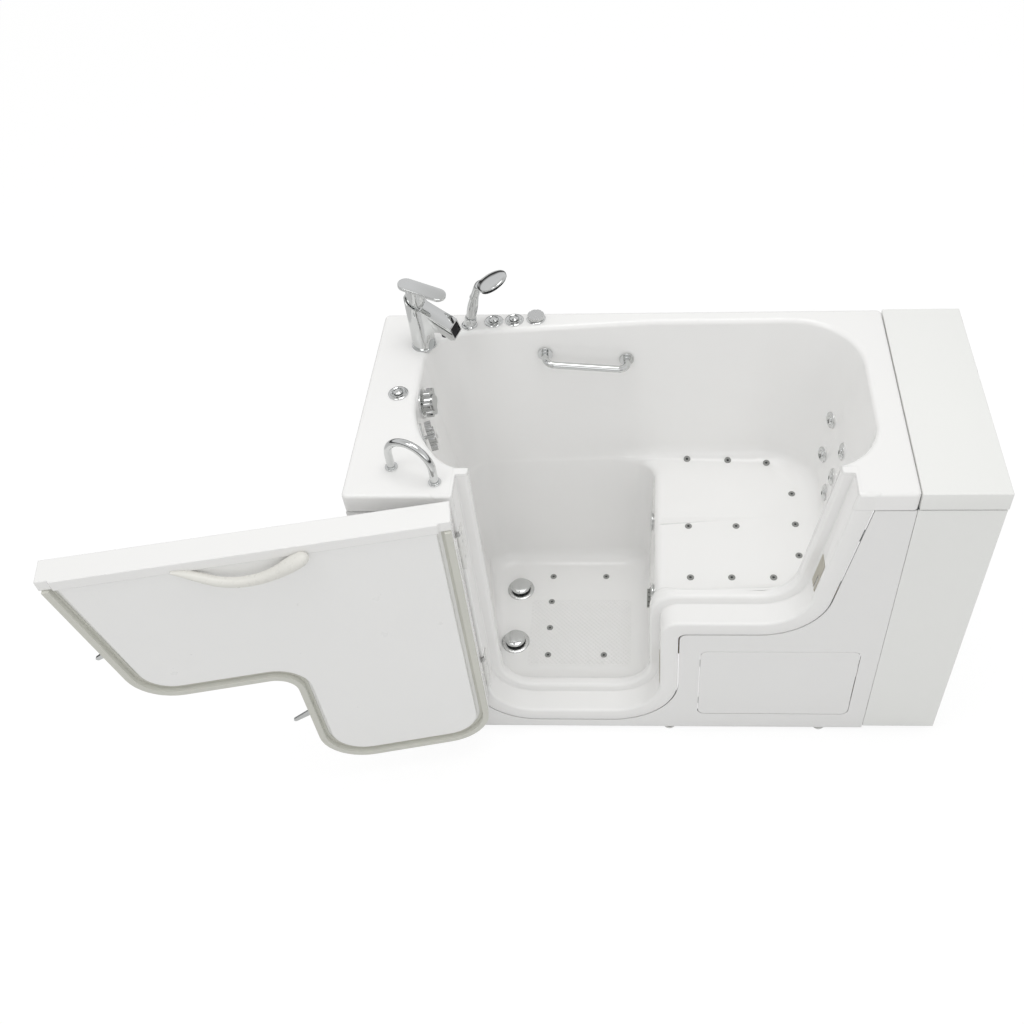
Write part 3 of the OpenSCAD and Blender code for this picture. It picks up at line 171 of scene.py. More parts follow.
# ---- Tub shell ----
# One vacuum-formed acrylic shell, glossy white: deck, basin, moulded seat and
# the stepped frame round the doorway. It is lofted through the CAD shell's own
# corner lists, in finer steps, then cut for the door and the fittings.
# Millimetres count from the tub's left end, the fascia's front and the floor,
# and TUB is the place of that corner in the frame.
TUB = Vector((-0.6605, -0.33, 0))
LENGTH, WIDTH = 1321, 660
DECK, SEAT, FLOOR = 1021, 527, 87
SKIN = 7
EDGE_R, ROLL_R = 9, 14
CORNER_STEPS = (2, 4, 5, 7, 3, 5, 8, 8, 5, 3)
COARSE_RING = sum(CORNER_STEPS) + len(CORNER_STEPS)


def blend_rings(k, m, flat, high):
    """A ring between two rings of corners, with its own share for the heights."""
    return [[a + (b - a) * s for a, b, s in zip(p, q, (flat, flat, high, flat))] for p, q in zip(k, m)]


def soft_ring(ring, finer):
    """A ring through ten corners, each rounded by a Bezier curve over its setback."""
    points = []
    for i, corner in enumerate(ring):
        v, reach = Vector(corner[:3]), corner[3]
        p = v + (Vector(ring[i - 1][:3]) - v).normalized() * reach
        q = v + (Vector(ring[(i + 1) % 10][:3]) - v).normalized() * reach
        b, c = p.lerp(v, 0.55), q.lerp(v, 0.55)
        steps = CORNER_STEPS[i] * finer
        for j in range(steps + 1):
            t = j / steps
            points.append(p * (1 - t) ** 3 + b * 3 * t * (1 - t) ** 2 + c * 3 * t * t * (1 - t) + q * t ** 3)
    return points


def basin_rings(finer, edge_arc, roll_arc, fillet_arc, lip_arc):
    """The shell's inner face as rings, from the fascia's foot to the floor.

    Each ring has ten corners, given as (x, y, z, setback of the rounding).
    """
    def rim(inset, z):
        x1, y1, c = LENGTH - inset, WIDTH - inset, 14 - inset
        return [[286, inset, z, 20], [inset, inset, z, c], [inset, 236, z, 60], [inset, y1, z, c],
                [640, y1, z, 20], [722, y1, z, 20], [x1, y1, z, c], [x1, inset, z, c],
                [762, inset, z, 25], [682, inset, z, 25]]

    def mouth(z, out):
        return [[286, 88 - out, z, 8], [222 - out * 0.5, 108 - out, z, 35],
                [130 - out, 236 - out * 0.6, z, 90], [130 - out, 574 + out, z, 105],
                [640, 612 + out, z, 40], [722, 618 + out, z, 25], [1251 + out, 618 + out, z, 170],
                [1251 + out, 90 - out, z, 150], [762, 90 - out, z, 25], [682, 90 - out, z, 25]]

    foot = [[348, 92, 137, 20], [266, 96, 137, 30], [252, 196, 137, 60], [190, 577, 137, 80],
            [570, 577, 137, 40], [708, 577, 137, 60], [708, 430, 137, 20], [708, 260, 137, 20],
            [708, 92, 137, 24], [580, 92, 137, 25]]
    floor_edge = [[350, 155, 87, 20], [290, 155, 87, 18], [276, 212, 87, 34], [232, 531, 87, 60],
                  [560, 531, 87, 40], [664, 531, 87, 60], [664, 420, 87, 20], [664, 270, 87, 20],
                  [664, 155, 87, 45], [570, 155, 87, 25]]

    def seat(kept, z_left):
        ring = []
        for i, (r, w) in enumerate(zip(mouth(DECK, 0), foot)):
            t = (DECK - z_left) / (DECK - w[2])
            on = [r[0] + (w[0] - r[0]) * t, r[1] + (w[1] - r[1]) * t, z_left, r[3] + (w[3] - r[3]) * t]
            ring.append(on if i < 5 or i == 9 else kept[i - 5])
        return ring

    wall = seat([[722, 608, 577, 25], [1186, 608, 577, 160], [1186, 92, 577, 140], [762, 92, 577, 25]], 577)
    flat = seat([[760, 584, 527, 25], [1128, 558, 527, 120], [1128, 142, 527, 110], [760, 107, 527, 14]], 535)
    lip = seat([[746, 584, 527, 30], [746, 440, 527, 20], [746, 240, 527, 20], [746, 105, 527, 14]], 527)
    drop = seat([[722, 582, 503, 50], [722, 440, 503, 20], [722, 240, 503, 20], [722, 99, 503, 14]], 503)
    keys = [rim(0, DECK - 53), rim(0, DECK - EDGE_R)]
    keys += [blend_rings(rim(0, DECK - EDGE_R), rim(EDGE_R, DECK), 1 - cos(a), sin(a)) for a in edge_arc]
    keys += [blend_rings(mouth(DECK, ROLL_R), mouth(DECK - ROLL_R, 0), sin(a), 1 - cos(a)) for a in roll_arc]
    keys += [blend_rings(wall, flat, 1 - cos(a), sin(a)) for a in fillet_arc]
    keys += [blend_rings(lip, drop, sin(a), 1 - cos(a)) for a in lip_arc]
    keys += [blend_rings(foot, floor_edge, 1 - cos(a), sin(a)) for a in fillet_arc]
    return [soft_ring(k, finer) for k in keys]


def arc(steps, start=0):
    """The angles of a quarter turn, from the step given."""
    return [pi / 2 * j / steps for j in range(start, steps + 1)]


# A place on the wall is (ring, place along it, share towards the next ring), on
# rings as coarse as the CAD shell's.
coarse = basin_rings(1, arc(2, 1), arc(3), arc(3), arc(2))
PAD_RISE = 2.5


def on_wall(k, u, share):
    """The matrix that stands a fitting on its flat pad on the wall."""
    i = int(u) % COARSE_RING
    j = (i + 1) % COARSE_RING
    upper, lower = (coarse[ring][i].lerp(coarse[ring][j], u % 1) for ring in (k, k + 1))
    out = (coarse[k + 1][i] - coarse[k][i]).cross(coarse[k][j] - coarse[k][i]).normalized()
    foot = upper.lerp(lower, share) + out * PAD_RISE
    return Matrix.Translation(TUB + foot / 1000) @ out.to_track_quat("Z", "Y").to_matrix().to_4x4()


def set_at(x, y, z):
    """The matrix that moves a piece from the origin to a place on the tub."""
    return Matrix.Translation(TUB + Vector((x, y, z)) / 1000)


back_jets = [on_wall(7, 38.2, 0.563), on_wall(7, 38.8, 0.83), on_wall(7, 40.35, 0.535),
             on_wall(7, 40.34, 0.767), on_wall(7, 40.3, 0.93)]
foot_jets = [on_wall(14, 13.2, 0.6), on_wall(14, 8.8, 0.8), on_wall(14, 32.3, 0.28), on_wall(14, 49.3, 0.28)]
suction_seat = on_wall(14, 45, 0.555)
knob_seats = [on_wall(7, 13.24, 0.075), on_wall(7, 10.5, 0.09)]


def new_mesh(name, points, faces):
    """A mesh object from millimetres on the tub's own axes, made active."""
    mesh = bpy.data.meshes.new(name)
    mesh.from_pydata([TUB + Vector(p) / 1000 for p in points], [], faces)
    piece = bpy.data.objects.new(name, mesh)
    bpy.context.collection.objects.link(piece)
    bpy.ops.object.select_all(action="DESELECT")
    piece.select_set(True)
    bpy.context.view_layer.objects.active = piece
    bpy.ops.object.mode_set(mode="EDIT")
    bpy.ops.mesh.select_all(action="SELECT")
    bpy.ops.mesh.normals_make_consistent(inside=False)
    bpy.ops.object.mode_set(mode="OBJECT")
    return piece


def lofted_shell():
    """The bare shell: the inner rings, the same rings set out by the skin, and closed ends."""
    rings = basin_rings(3, arc(5, 1), arc(8), arc(9), arc(9))
    n, m = len(rings[0]), len(rings)

    def normal(k, i):
        # the deck's two rings and the floor's last one look straight up
        if k in (6, 7, m - 1):
            return Vector((0, 0, 1))
        down = rings[min(k + 1, m - 1)][i] - rings[max(k - 1, 0)][i]
        return down.cross(rings[k][(i + 1) % n] - rings[k][i - 1]).normalized()
    outer = []
    for k in range(m):
        bare = [normal(k, i) for i in range(n)]
        # the normals are averaged along the ring, so that tight corners stay whole
        soft = [sum((bare[(i + d) % n] for d in range(-4, 5)), Vector()).normalized() for i in range(n)]
        outer.append([p - SKIN * out for p, out in zip(rings[k], soft)])
    points = [p for ring in rings + outer for p in ring]
    side = n * m
    faces = []
    for k in range(m - 1):
        for i in range(n):
            j = (i + 1) % n
            faces.append((k * n + i, k * n + j, (k + 1) * n + j, (k + 1) * n + i))
            faces.append((side + k * n + j, side + k * n + i, side + (k + 1) * n + i, side + (k + 1) * n + j))
    for i in range(n):
        faces.append(((i + 1) % n, i, side + i, side + (i + 1) % n))
    faces.append([(m - 1) * n + i for i in range(n)])
    faces.append([side + (m - 1) * n + i for i in reversed(range(n))])
    return new_mesh("tub_shell_look", points, faces)


def rounded(points, radii, inset, least=22):
    """An anticlockwise outline moved in by inset, its corners rounded in 3-degree steps."""
    n, moved, out = len(points), [], []
    for i in range(n):
        a, v, b = (Vector(points[j % n]) for j in (i - 1, i, i + 1))
        u, w = (v - a).normalized(), (b - v).normalized()
        m, k = Vector((-u.y, u.x)), Vector((-w.y, w.x))
        moved.append(v + inset * (m + k) / (1 + m.dot(k)))
    for i in range(n):
        v = moved[i]
        u, w = (moved[i - 1] - v).normalized(), (moved[(i + 1) % n] - v).normalized()
        turn = u.x * w.y - u.y * w.x
        if not radii[i]:
            out.append(v)
            continue
        rad = max(least, radii[i] + (inset if turn > 0 else -inset))
        half = u.angle(w) / 2
        c = v + (u + w).normalized() * rad / sin(half)
        start, end = v + u * rad / tan(half) - c, v + w * rad / tan(half) - c
        sweep = (atan2(end.y, end.x) - atan2(start.y, start.x) + 3 * pi) % (2 * pi) - pi
        steps = max(1, round(abs(sweep) / radians(3)))
        for j in range(steps + 1):
            a = atan2(start.y, start.x) + sweep * j / steps
            out.append(c + rad * Vector((cos(a), sin(a))))
    return out


def doorway(inset):
    """The stepped doorway, down the hinge side and up the leaning right jamb, past the deck."""
    corners = ((258, 1081), (258, 97), (735, 97), (735, 522), (1100, 522), (1180, DECK), (1187.8, 1081))
    return rounded(corners, (0, 125, 140, 50, 125, 0, 0), inset)


def through(name, stages):
    """A solid through matching outlines in X and Z, one at each (inset, y), ends closed."""
    lines = [doorway(inset) for inset, y in stages]
    n, m = len(lines[0]), len(stages)
    points = [(p.x, y, p.y) for line, (inset, y) in zip(lines, stages) for p in line]
    faces = [list(range(n)), list(range(m * n - 1, m * n - n - 1, -1))]
    faces += [(k * n + i, k * n + (i + 1) % n, (k + 1) * n + (i + 1) % n, (k + 1) * n + i)
              for k in range(m - 1) for i in range(n)]
    return new_mesh(name, points, faces)


def jamb(stages):
    """A closed section of (inset, y) corners run down, along and up the doorway."""
    knee, swell, back = Vector((715, 540)), 20, 89
    lean = Vector((0.1603, 1))
    runs = []
    for inset, y in stages:
        line = doorway(inset)[:-1]
        # the ends stop just under the deck, or under its rounded front edge
        top = DECK - 0.4
        if y < EDGE_R:
            top += sqrt(EDGE_R ** 2 - (EDGE_R - y) ** 2) - EDGE_R
        line[0].y = top
        line[-1] += lean * (top - line[-1].y)
        # the back of the stop swells at the knee to meet the seat's lip
        near = [max(0, min(1, 1.4 - (p - knee).length / 60)) for p in line]
        runs.append([(p.x, y + swell * k if y == back else y, p.y) for p, k in zip(line, near)])
    n, m = len(runs[0]), len(runs)
    faces = [[k * n for k in range(m)], [k * n + n - 1 for k in reversed(range(m))]]
    faces += [(k * n + i, k * n + i + 1, (k + 1) % m * n + i + 1, (k + 1) % m * n + i)
              for k in range(m) for i in range(n - 1)]
    return new_mesh("jamb", [p for run in runs for p in run], faces)


def rod_at(place, r, z0, z1, sides=64):
    """A closed cylinder from z0 to z1 millimetres on a placed axis."""
    bpy.ops.mesh.primitive_cylinder_add(vertices=sides, radius=r / 1000, depth=(z1 - z0) / 1000)
    piece = bpy.context.object
    piece.data.transform(place @ Matrix.Translation((0, 0, (z0 + z1) / 2000)))
    return piece


def combine(piece, tool, how, tangled=False):
    """Cuts, joins or trims a piece with a tool, which is used up."""
    cut = piece.modifiers.new("cut", "BOOLEAN")
    cut.operation = how
    cut.solver = "EXACT"
    cut.object = tool
    cut.use_self = tangled
    bpy.ops.object.select_all(action="DESELECT")
    piece.select_set(True)
    bpy.context.view_layer.objects.active = piece
    bpy.ops.object.modifier_apply(modifier="cut")
    bpy.data.objects.remove(tool)


def join(pieces):
    """Makes one piece of several, under the first one's name."""
    bpy.ops.object.select_all(action="DESELECT")
    for piece in pieces:
        piece.select_set(True)
    bpy.context.view_layer.objects.active = pieces[0]
    bpy.ops.object.join()
    return pieces[0]


def curve(inset, y, r, start, end, steps=6):
    """Points on an arc in the jamb's section, angles in degrees from the tub's front."""
    turns = [radians(start + (end - start) * j / steps) for j in range(steps + 1)]
    return [(inset + r * sin(t), y - r * cos(t)) for t in turns]


# The edge of the doorway: a flat frame, a round nose, the reveal, a small cove
# at the stop, and a second nose into the basin. The shell is cut a hair wider.
face = curve(-7.3, 7.15, 7, 0, 90) + [(3.7 - 4 * cos(t), 63.7 + 4 * sin(t)) for t in arc(4)]
face += curve(18.7, 76.7, 9, 0, 90)
shell = lofted_shell()
wide = [(inset - 0.3, y + 0.3) for inset, y in face]
combine(shell, through("way", [(wide[0][0], -10)] + wide + [(28, 138)]), "DIFFERENCE", tangled=True)
BOX = [(0, 1, 2, 3), (7, 6, 5, 4), (0, 4, 5, 1), (1, 5, 6, 2), (2, 6, 7, 3), (3, 7, 4, 0)]

# The seat's drain groove widens and falls towards the footwell.
groove = [(x, y + dy, z) for x, y, half, low in ((700, 349, 27, 522.5), (1085, 363, 2, 527.2))
          for dy, z in ((-half, 531), (half, 531), (half * 0.35, low), (-half * 0.35, low))]
combine(shell, new_mesh("groove", groove, BOX), "DIFFERENCE")

# Each fitting on the wall gets a flat pad, and each drain a flat round seat and
# a hole through the floor.
wall_fittings = [(m, 23) for m in back_jets + foot_jets]
wall_fittings += [(m, 39) for m in knob_seats] + [(suction_seat, 33)]
drain_places = [set_at(301, 444, FLOOR), set_at(300, 245, FLOOR)]
cutters = [rod_at(m, r, 0, 20) for m, r in wall_fittings] + [rod_at(m, 42.5, 0, 40) for m in drain_places]
combine(shell, join(cutters), "DIFFERENCE")
combine(shell, join([rod_at(m, 24.3, -20, 5) for m in drain_places]), "DIFFERENCE")
pads = [rod_at(m, r, -9, 0) for m, r in wall_fittings]
edge = jamb([(-48.2, 7), (-48.2, 3), (-47.6, 2.2), (-44, 1.9), (-40, 0.15)] + face
            + [(27.7, 89), (-7, 89), (-7, 7)])
# The slots in the right jamb that the latches' cams swing into.
for x, z in ((1125.3, 680), (735, 270)):
    bpy.ops.mesh.primitive_cube_add(size=1)
    slot = bpy.context.object
    slot.data.transform(set_at(x - 5, 26.5, z - 13) @ Matrix.Diagonal((0.036, 0.008, 0.054, 1)))
    combine(edge, slot, "DIFFERENCE")


def rib(a, b):
    """A low tapered bar from a to b on the footwell floor."""
    a, b = Vector((*a, FLOOR - 0.2)), Vector((*b, FLOOR - 0.2))
    side = (b - a).cross(Vector((0, 0, 1))).normalized()
    section = ((-3, 0), (3, 0), (0.9, 0.9), (-0.9, 0.9))
    return new_mesh("rib", [p + side * s + Vector((0, 0, h)) for p in (a, b) for s, h in section], BOX)


# The anti-slip field: two crossing sets of low ribs moulded in the floor.
pitch, left, right, near, far = 14.1, 342, 648, 164, 400
ribs = []
for step in range(-60, 90):
    for lean in (1, -1):
        # each line is y = lean * x + c, kept inside the field's box
        c = pitch * step
        ends = [(x, lean * x + c) for x in (left, right) if near <= lean * x + c <= far]
        ends += [((y - c) / lean, y) for y in (near, far) if left < (y - c) / lean < right]
        if len(ends) == 2 and abs(ends[0][0] - ends[1][0]) > 8:
            ribs.append(rib(*ends))
join([shell, edge] + pads + ribs)
bpy.ops.object.shade_smooth_by_angle(angle=radians(35))


def cast(node, bevel=0.0, segments=2, angle=32):
    """A copy of a CAD node, its seams merged and its edges eased."""
    piece = bpy.data.objects.new(node + "_look", frame["nodes"][node].data.copy())
    bpy.context.collection.objects.link(piece)
    bpy.ops.object.select_all(action="DESELECT")
    piece.select_set(True)
    bpy.context.view_layer.objects.active = piece
    bpy.ops.mesh.customdata_custom_splitnormals_clear()
    bpy.ops.object.mode_set(mode="EDIT")
    bpy.ops.mesh.select_all(action="SELECT")
    bpy.ops.mesh.remove_doubles(threshold=1e-5)
    bpy.ops.mesh.dissolve_limited(angle_limit=radians(0.1))
    bpy.ops.object.mode_set(mode="OBJECT")
    if bevel:
        eased = piece.modifiers.new("eased", "BEVEL")
        eased.width = bevel
        eased.segments = segments
        eased.limit_method = "ANGLE"
        eased.angle_limit = radians(angle)
        weighted = piece.modifiers.new("weighted", "WEIGHTED_NORMAL")
        weighted.keep_sharp = True
    bpy.ops.object.shade_smooth_by_angle(angle=radians(angle))
    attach(piece, frame["nodes"][node]["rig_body"])
    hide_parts(node)
    return piece


def coat(name, colour, rough, metal=0.0, grain=60, depth=0.00005, vary=0.03, soften=0.0):
    """A moulded, painted or plated surface: mottled tone and gloss, fine relief, soft edges.

    grain and depth are the relief's scale and height, vary is the mottling's
    strength, and soften rounds sharp edges in the shading.
    """
    mat = bpy.data.materials.new(name)
    mat.use_nodes = True
    nodes, links = mat.node_tree.nodes, mat.node_tree.links
    shader = nodes["Principled BSDF"]
    shader.inputs["Metallic"].default_value = metal
    where = nodes.new("ShaderNodeTexCoord")
    broad = nodes.new("ShaderNodeTexNoise")
    broad.inputs["Scale"].default_value = 5
    broad.inputs["Detail"].default_value = 3
    fine = nodes.new("ShaderNodeTexNoise")
    fine.inputs["Scale"].default_value = grain
    fine.inputs["Detail"].default_value = 5
    for noise in (broad, fine):
        links.new(where.outputs["Object"], noise.inputs["Vector"])
    tone = nodes.new("ShaderNodeMix")
    tone.data_type = "RGBA"
    tone.inputs[6].default_value = (*colour, 1)
    tone.inputs[7].default_value = (*(c * (1 - 2 * vary) for c in colour), 1)
    links.new(broad.outputs["Fac"], tone.inputs["Factor"])
    links.new(tone.outputs[2], shader.inputs["Base Color"])
    gloss = nodes.new("ShaderNodeMapRange")
    gloss.inputs["From Min"].default_value = 0.3
    gloss.inputs["From Max"].default_value = 0.7
    gloss.inputs["To Min"].default_value = rough * 0.8
    gloss.inputs["To Max"].default_value = rough * 1.25
    links.new(fine.outputs["Fac"], gloss.inputs["Value"])
    links.new(gloss.outputs[0], shader.inputs["Roughness"])
    relief = nodes.new("ShaderNodeBump")
    relief.inputs["Distance"].default_value = depth
    links.new(fine.outputs["Fac"], relief.inputs["Height"])
    links.new(relief.outputs[0], shader.inputs["Normal"])
    if soften:
        edges = nodes.new("ShaderNodeBevel")
        edges.samples = 6
        edges.inputs["Radius"].default_value = soften
        links.new(edges.outputs[0], relief.inputs["Normal"])
    return mat


def nudge(piece, axis, low, high, move):
    """Moves the corners that lie between two values along an axis (0, 1, 2), in millimetres."""
    for v in piece.data.vertices:
        if low < (v.co[axis] - TUB[axis]) * 1000 < high:
            v.co += Vector(move) / 1000
    return piece


def dress(piece, mat):
    """Gives a piece its one material."""
    piece.data.materials.clear()
    piece.data.materials.append(mat)
    for face in piece.data.polygons:
        face.material_index = 0


acrylic = coat("acrylic", (0.93, 0.927, 0.917), 0.13, grain=9, depth=0.00025, vary=0.01, soften=0.004)
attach(shell, "tub")
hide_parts("tub_shell")
dress(shell, acrylic)

# ---- Front apron ----
# The acrylic skirt sheet under the deck, cut to the stepped doorway and
# hung from the frame. A narrow joint is left round the doorway's own frame, and
# the sheet's top edge stops a little under the deck's turned-down rim.
sheet_white = coat("sheet_white", (0.89, 0.888, 0.88), 0.16, grain=7, depth=0.0002, vary=0.01)
apron = cast("front_apron")
combine(apron, through("gap", [(-51.4, -5), (-51.4, 30)]), "DIFFERENCE")
bpy.ops.object.shade_smooth_by_angle(angle=radians(32))
RIM_JOINT = (966, 970)
dress(nudge(apron, 2, *RIM_JOINT, (0, 0, -4.5)), sheet_white)

# ---- Access panel ----
# The lift-out panel in the skirt, cut from the same sheet with rounded
# corners; it is pressed onto catches behind its edges.
dress(cast("access_panel", 0.0012, 3), sheet_white)

# ---- Panel catches ----
# Pressed zinc-plated tabs, screwed behind the skirt's opening, that the access
# panel's corners snap onto.
zinc = coat("zinc", (0.66, 0.67, 0.67), 0.38, metal=1.0, grain=160, vary=0.06)
dress(cast("panel_catches", 0.0004), zinc)

# ---- End panel ----
# The skirt sheet that closes the tub's left end, of the same white acrylic
# and hung from the frame in the same way.
dress(nudge(cast("end_panel", 0.0008), 2, *RIM_JOINT, (0, 0, -4.5)), sheet_white)

# ---- Extension ----
# The add-on shelf that fills the alcove: a formed top, hollow underneath, and
# two panels in a slightly warmer white, standing a hair's gap from the tub.
warm = coat("warm_acrylic", (0.90, 0.905, 0.885), 0.2, grain=9, depth=0.0002, vary=0.01)
bpy.ops.mesh.primitive_cube_add(size=1)
top = bpy.context.object
top.name = "extension_top_look"
top.data.transform(set_at(1423.25, WIDTH / 2, 994.5) @ Matrix.Diagonal((0.2015, 0.66, 0.053, 1)))
bpy.ops.object.mode_set(mode="EDIT")
bpy.ops.mesh.select_all(action="DESELECT")
bpy.ops.object.mode_set(mode="OBJECT")
for face in top.data.polygons:
    face.select = face.normal.z < -0.5
bpy.ops.object.mode_set(mode="EDIT")
bpy.ops.mesh.inset(thickness=0.005)
bpy.ops.mesh.extrude_region_move(TRANSFORM_OT_translate={"value": (0, 0, 0.047)})
bpy.ops.object.mode_set(mode="OBJECT")
eased = top.modifiers.new("eased", "BEVEL")
eased.width = 0.0035
eased.segments = 4
bpy.ops.object.modifier_apply(modifier="eased")
bpy.ops.object.shade_smooth_by_angle(angle=radians(35))
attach(top, "tub")
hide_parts("extension_top")
dress(top, warm)
front = nudge(cast("extension_front", 0.0012), 2, *RIM_JOINT, (0, 0, -4))
dress(nudge(front, 0, LENGTH + 1, LENGTH + 4, (-3, 0, 0)), warm)
dress(nudge(cast("extension_end", 0.0012), 2, *RIM_JOINT, (0, 0, -4)), warm)

# ---- Support frame ----
# Rectangular steel tube welded up under the shell, with a grey powder coat;
# it carries the tub and stands on the levelling feet.
steel = coat("grey_powder_coat", (0.32, 0.345, 0.36), 0.42, grain=400, depth=0.0001, vary=0.04)
dress(cast("support_frame", 0.0012), steel)

# ---- Bearer boards ----
# Plywood bearers between the frame and the shell, sawn and unpainted, with
# their grain along the tub.
mat = bpy.data.materials.new("plywood")
mat.use_nodes = True
nodes, links = mat.node_tree.nodes, mat.node_tree.links
shader = nodes["Principled BSDF"]
where = nodes.new("ShaderNodeTexCoord")
stretch = nodes.new("ShaderNodeMapping")
stretch.inputs["Scale"].default_value = (4, 38, 60)
grain = nodes.new("ShaderNodeTexNoise")
grain.inputs["Scale"].default_value = 1.6
grain.inputs["Detail"].default_value = 8
grain.inputs["Distortion"].default_value = 0.6
ramp = nodes.new("ShaderNodeValToRGB")
ramp.color_ramp.elements[0].position = 0.3
ramp.color_ramp.elements[0].color = (0.40, 0.235, 0.11, 1)
ramp.color_ramp.elements[1].position = 0.7
ramp.color_ramp.elements[1].color = (0.62, 0.43, 0.235, 1)
relief = nodes.new("ShaderNodeBump")
relief.inputs["Distance"].default_value = 0.0003
shader.inputs["Roughness"].default_value = 0.72
links.new(where.outputs["Object"], stretch.inputs["Vector"])
links.new(stretch.outputs[0], grain.inputs["Vector"])
links.new(grain.outputs["Fac"], ramp.inputs["Fac"])
links.new(ramp.outputs["Color"], shader.inputs["Base Color"])
links.new(grain.outputs["Fac"], relief.inputs["Height"])
links.new(relief.outputs[0], shader.inputs["Normal"])
dress(cast("bearer_boards", 0.0008), mat)

# ---- Levelling feet ----
# Screw feet with pale moulded pads, set to the floor at fitting and locked by
# nuts under the frame.
pale = coat("pale_plastic", (0.80, 0.80, 0.78), 0.35, grain=150, vary=0.02)
dress(cast("levelling_feet", 0.0006), pale)

# ---- Door body ----
# A hollow moulded leaf that follows the stepped doorway, in the tub's own
# glossy white; it hangs on the left jamb and opens outwards.
dress(cast("door_body", 0.0015, 3), acrylic)

# ---- Door top cap ----
# The lid glued on the hollow leaf, of the same acrylic, level with the deck
# when the door is shut.
dress(cast("door_top_cap", 0.0015, 3), acrylic)

# ---- Door inner panel ----
# The raised field that faces the bather, a satin off-white moulding fixed on
# the leaf inside the seal.
panel_white = coat("panel_white", (0.94, 0.94, 0.93), 0.34, grain=14, depth=0.0002, vary=0.01)
dress(cast("door_inner_panel", 0.003, 4), panel_white)

# ---- Door gasket ----
# A soft grey-green seal in a groove round the sides and the bottom, with a
# thin inner flap that lies on the panel's border.
rubber = coat("gasket_rubber", (0.69, 0.69, 0.63), 0.5, grain=220, depth=0.0002, vary=0.04)
HINGE = set_at(258, -8.5, 0)
SWING = HINGE @ Matrix.Rotation(radians(-169), 4, "Z") @ HINGE.inverted()
flap = jamb([(24, 49.1), (24, 51.8), (26, 52.8), (30, 52.4), (33, 51), (33, 49.1)])
flap_top = 0.9905
for v in flap.data.vertices:
    v.co.z = min(v.co.z, flap_top)
flap.data.transform(SWING)
seal = cast("door_gasket", 0.002, 3)
join([seal, flap])
dress(seal, rubber)

# ---- Door handle ----
# A bowed pull moulded in cream plastic: a thick round end on the hinge side,
# a slim grip, and a flat end that feathers into the top cap.
cream = coat("cream_plastic", (0.80, 0.79, 0.745), 0.3, grain=90, depth=0.0001, vary=0.02)


def swept(name, stations, across, sides=32, steps=6):
    """Ellipses along a smooth path, through stations of (centre, half width, half depth)."""
    rows = [Vector((*c, a, b)) for c, a, b in stations]
    rows = [rows[0] * 2 - rows[1]] + rows + [rows[-1] * 2 - rows[-2]]
    path = []
    for i in range(1, len(rows) - 2):
        for j in range(steps):
            t = j / steps
            p0, p1, p2, p3 = rows[i - 1:i + 3]
            path.append(0.5 * (2 * p1 + (p2 - p0) * t + (2 * p0 - 5 * p1 + 4 * p2 - p3) * t * t
                               + (3 * p1 - p0 - 3 * p2 + p3) * t ** 3))
    path.append(rows[-2])
    points, n = [], len(path)
    for i, row in enumerate(path):
        along = Vector((path[min(i + 1, n - 1)] - path[max(i - 1, 0)])[:3]).normalized()
        wide = (Vector(across) - along * along.dot(Vector(across))).normalized()
        deep = along.cross(wide)
        for k in range(sides):
            turn = 2 * pi * k / sides
            points.append(Vector(row[:3]) + wide * row[3] * cos(turn) + deep * row[4] * sin(turn))
    faces = [(i * sides + k, i * sides + (k + 1) % sides,
              (i + 1) * sides + (k + 1) % sides, (i + 1) * sides + k)
             for i in range(n - 1) for k in range(sides)]
    faces += [list(range(sides)), list(range((n - 1) * sides, n * sides))]
    return new_mesh(name, points, faces)


pull = swept("door_handle_look", (
    ((587, 73, 997), 6, 6), ((592, 75, 995), 14, 12), ((604, 79, 991), 19.5, 16),
    ((630, 84, 982), 20, 16), ((662, 87, 968), 16, 14.5), ((700, 88, 957), 13.5, 13),
    ((745, 87, 954), 13, 12), ((790, 84, 963), 13, 11), ((828, 77, 979), 13, 9),
    ((860, 70, 991), 11, 7), ((886, 66.5, 998), 6, 3)), (0, 1, 0))
pull.data.transform(SWING)
bpy.ops.object.shade_smooth_by_angle(angle=radians(60))
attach(pull, frame["nodes"]["door_handle"]["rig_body"])
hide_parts("door_handle")
dress(pull, cream)

# ---- Hinges ----
# Two butt hinges with white-coated leaves on plain steel pins, each leaf fixed
# with three countersunk screws.
brushed = coat("brushed_steel", (0.56, 0.565, 0.56), 0.3, metal=1.0, grain=500, vary=0.04)
white_coat = coat("hinge_coat", (0.84, 0.84, 0.82), 0.3, grain=300, depth=0.0001, vary=0.02)
for node in ("hinge_jamb_leaves", "hinge_door_leaves"):
    dress(cast(node, 0.0003), white_coat)
for node in ("hinge_pins", "jamb_screws", "door_screws"):
    dress(cast(node, 0.0003), brushed)

# ---- Latches ----
# Two plated quarter-turn levers on the outside, each on a spindle through the
# leaf that turns a cam into a slot in the right jamb.
chrome = coat("chrome", (0.70, 0.71, 0.705), 0.06, metal=1.0, grain=70, depth=0.00002, vary=0.02)
for node in ("upper_latch_lever", "lower_latch_lever"):
    dress(cast(node, 0.0015, 3), chrome)
for node in ("upper_latch_cam", "lower_latch_cam"):
    dress(cast(node, 0.0006), chrome)

# ---- Strike plates ----
# Thin beige-lacquered metal plates, let into the right jamb round the slots,
# that the cams bear on.
strike = coat("strike_lacquer", (0.50, 0.475, 0.40), 0.4, grain=120, vary=0.05)
dress(cast("strike_plates", 0.0004), strike)

# ---- Faucet ----
# A cast, plated single-lever mixer: a round body, a flat-topped hood that
# slopes down to the mouth, and a flat oval lever on a short neck.
TAP = set_at(123, 535, DECK) @ Matrix.Rotation(radians(-15.5), 4, "Z")


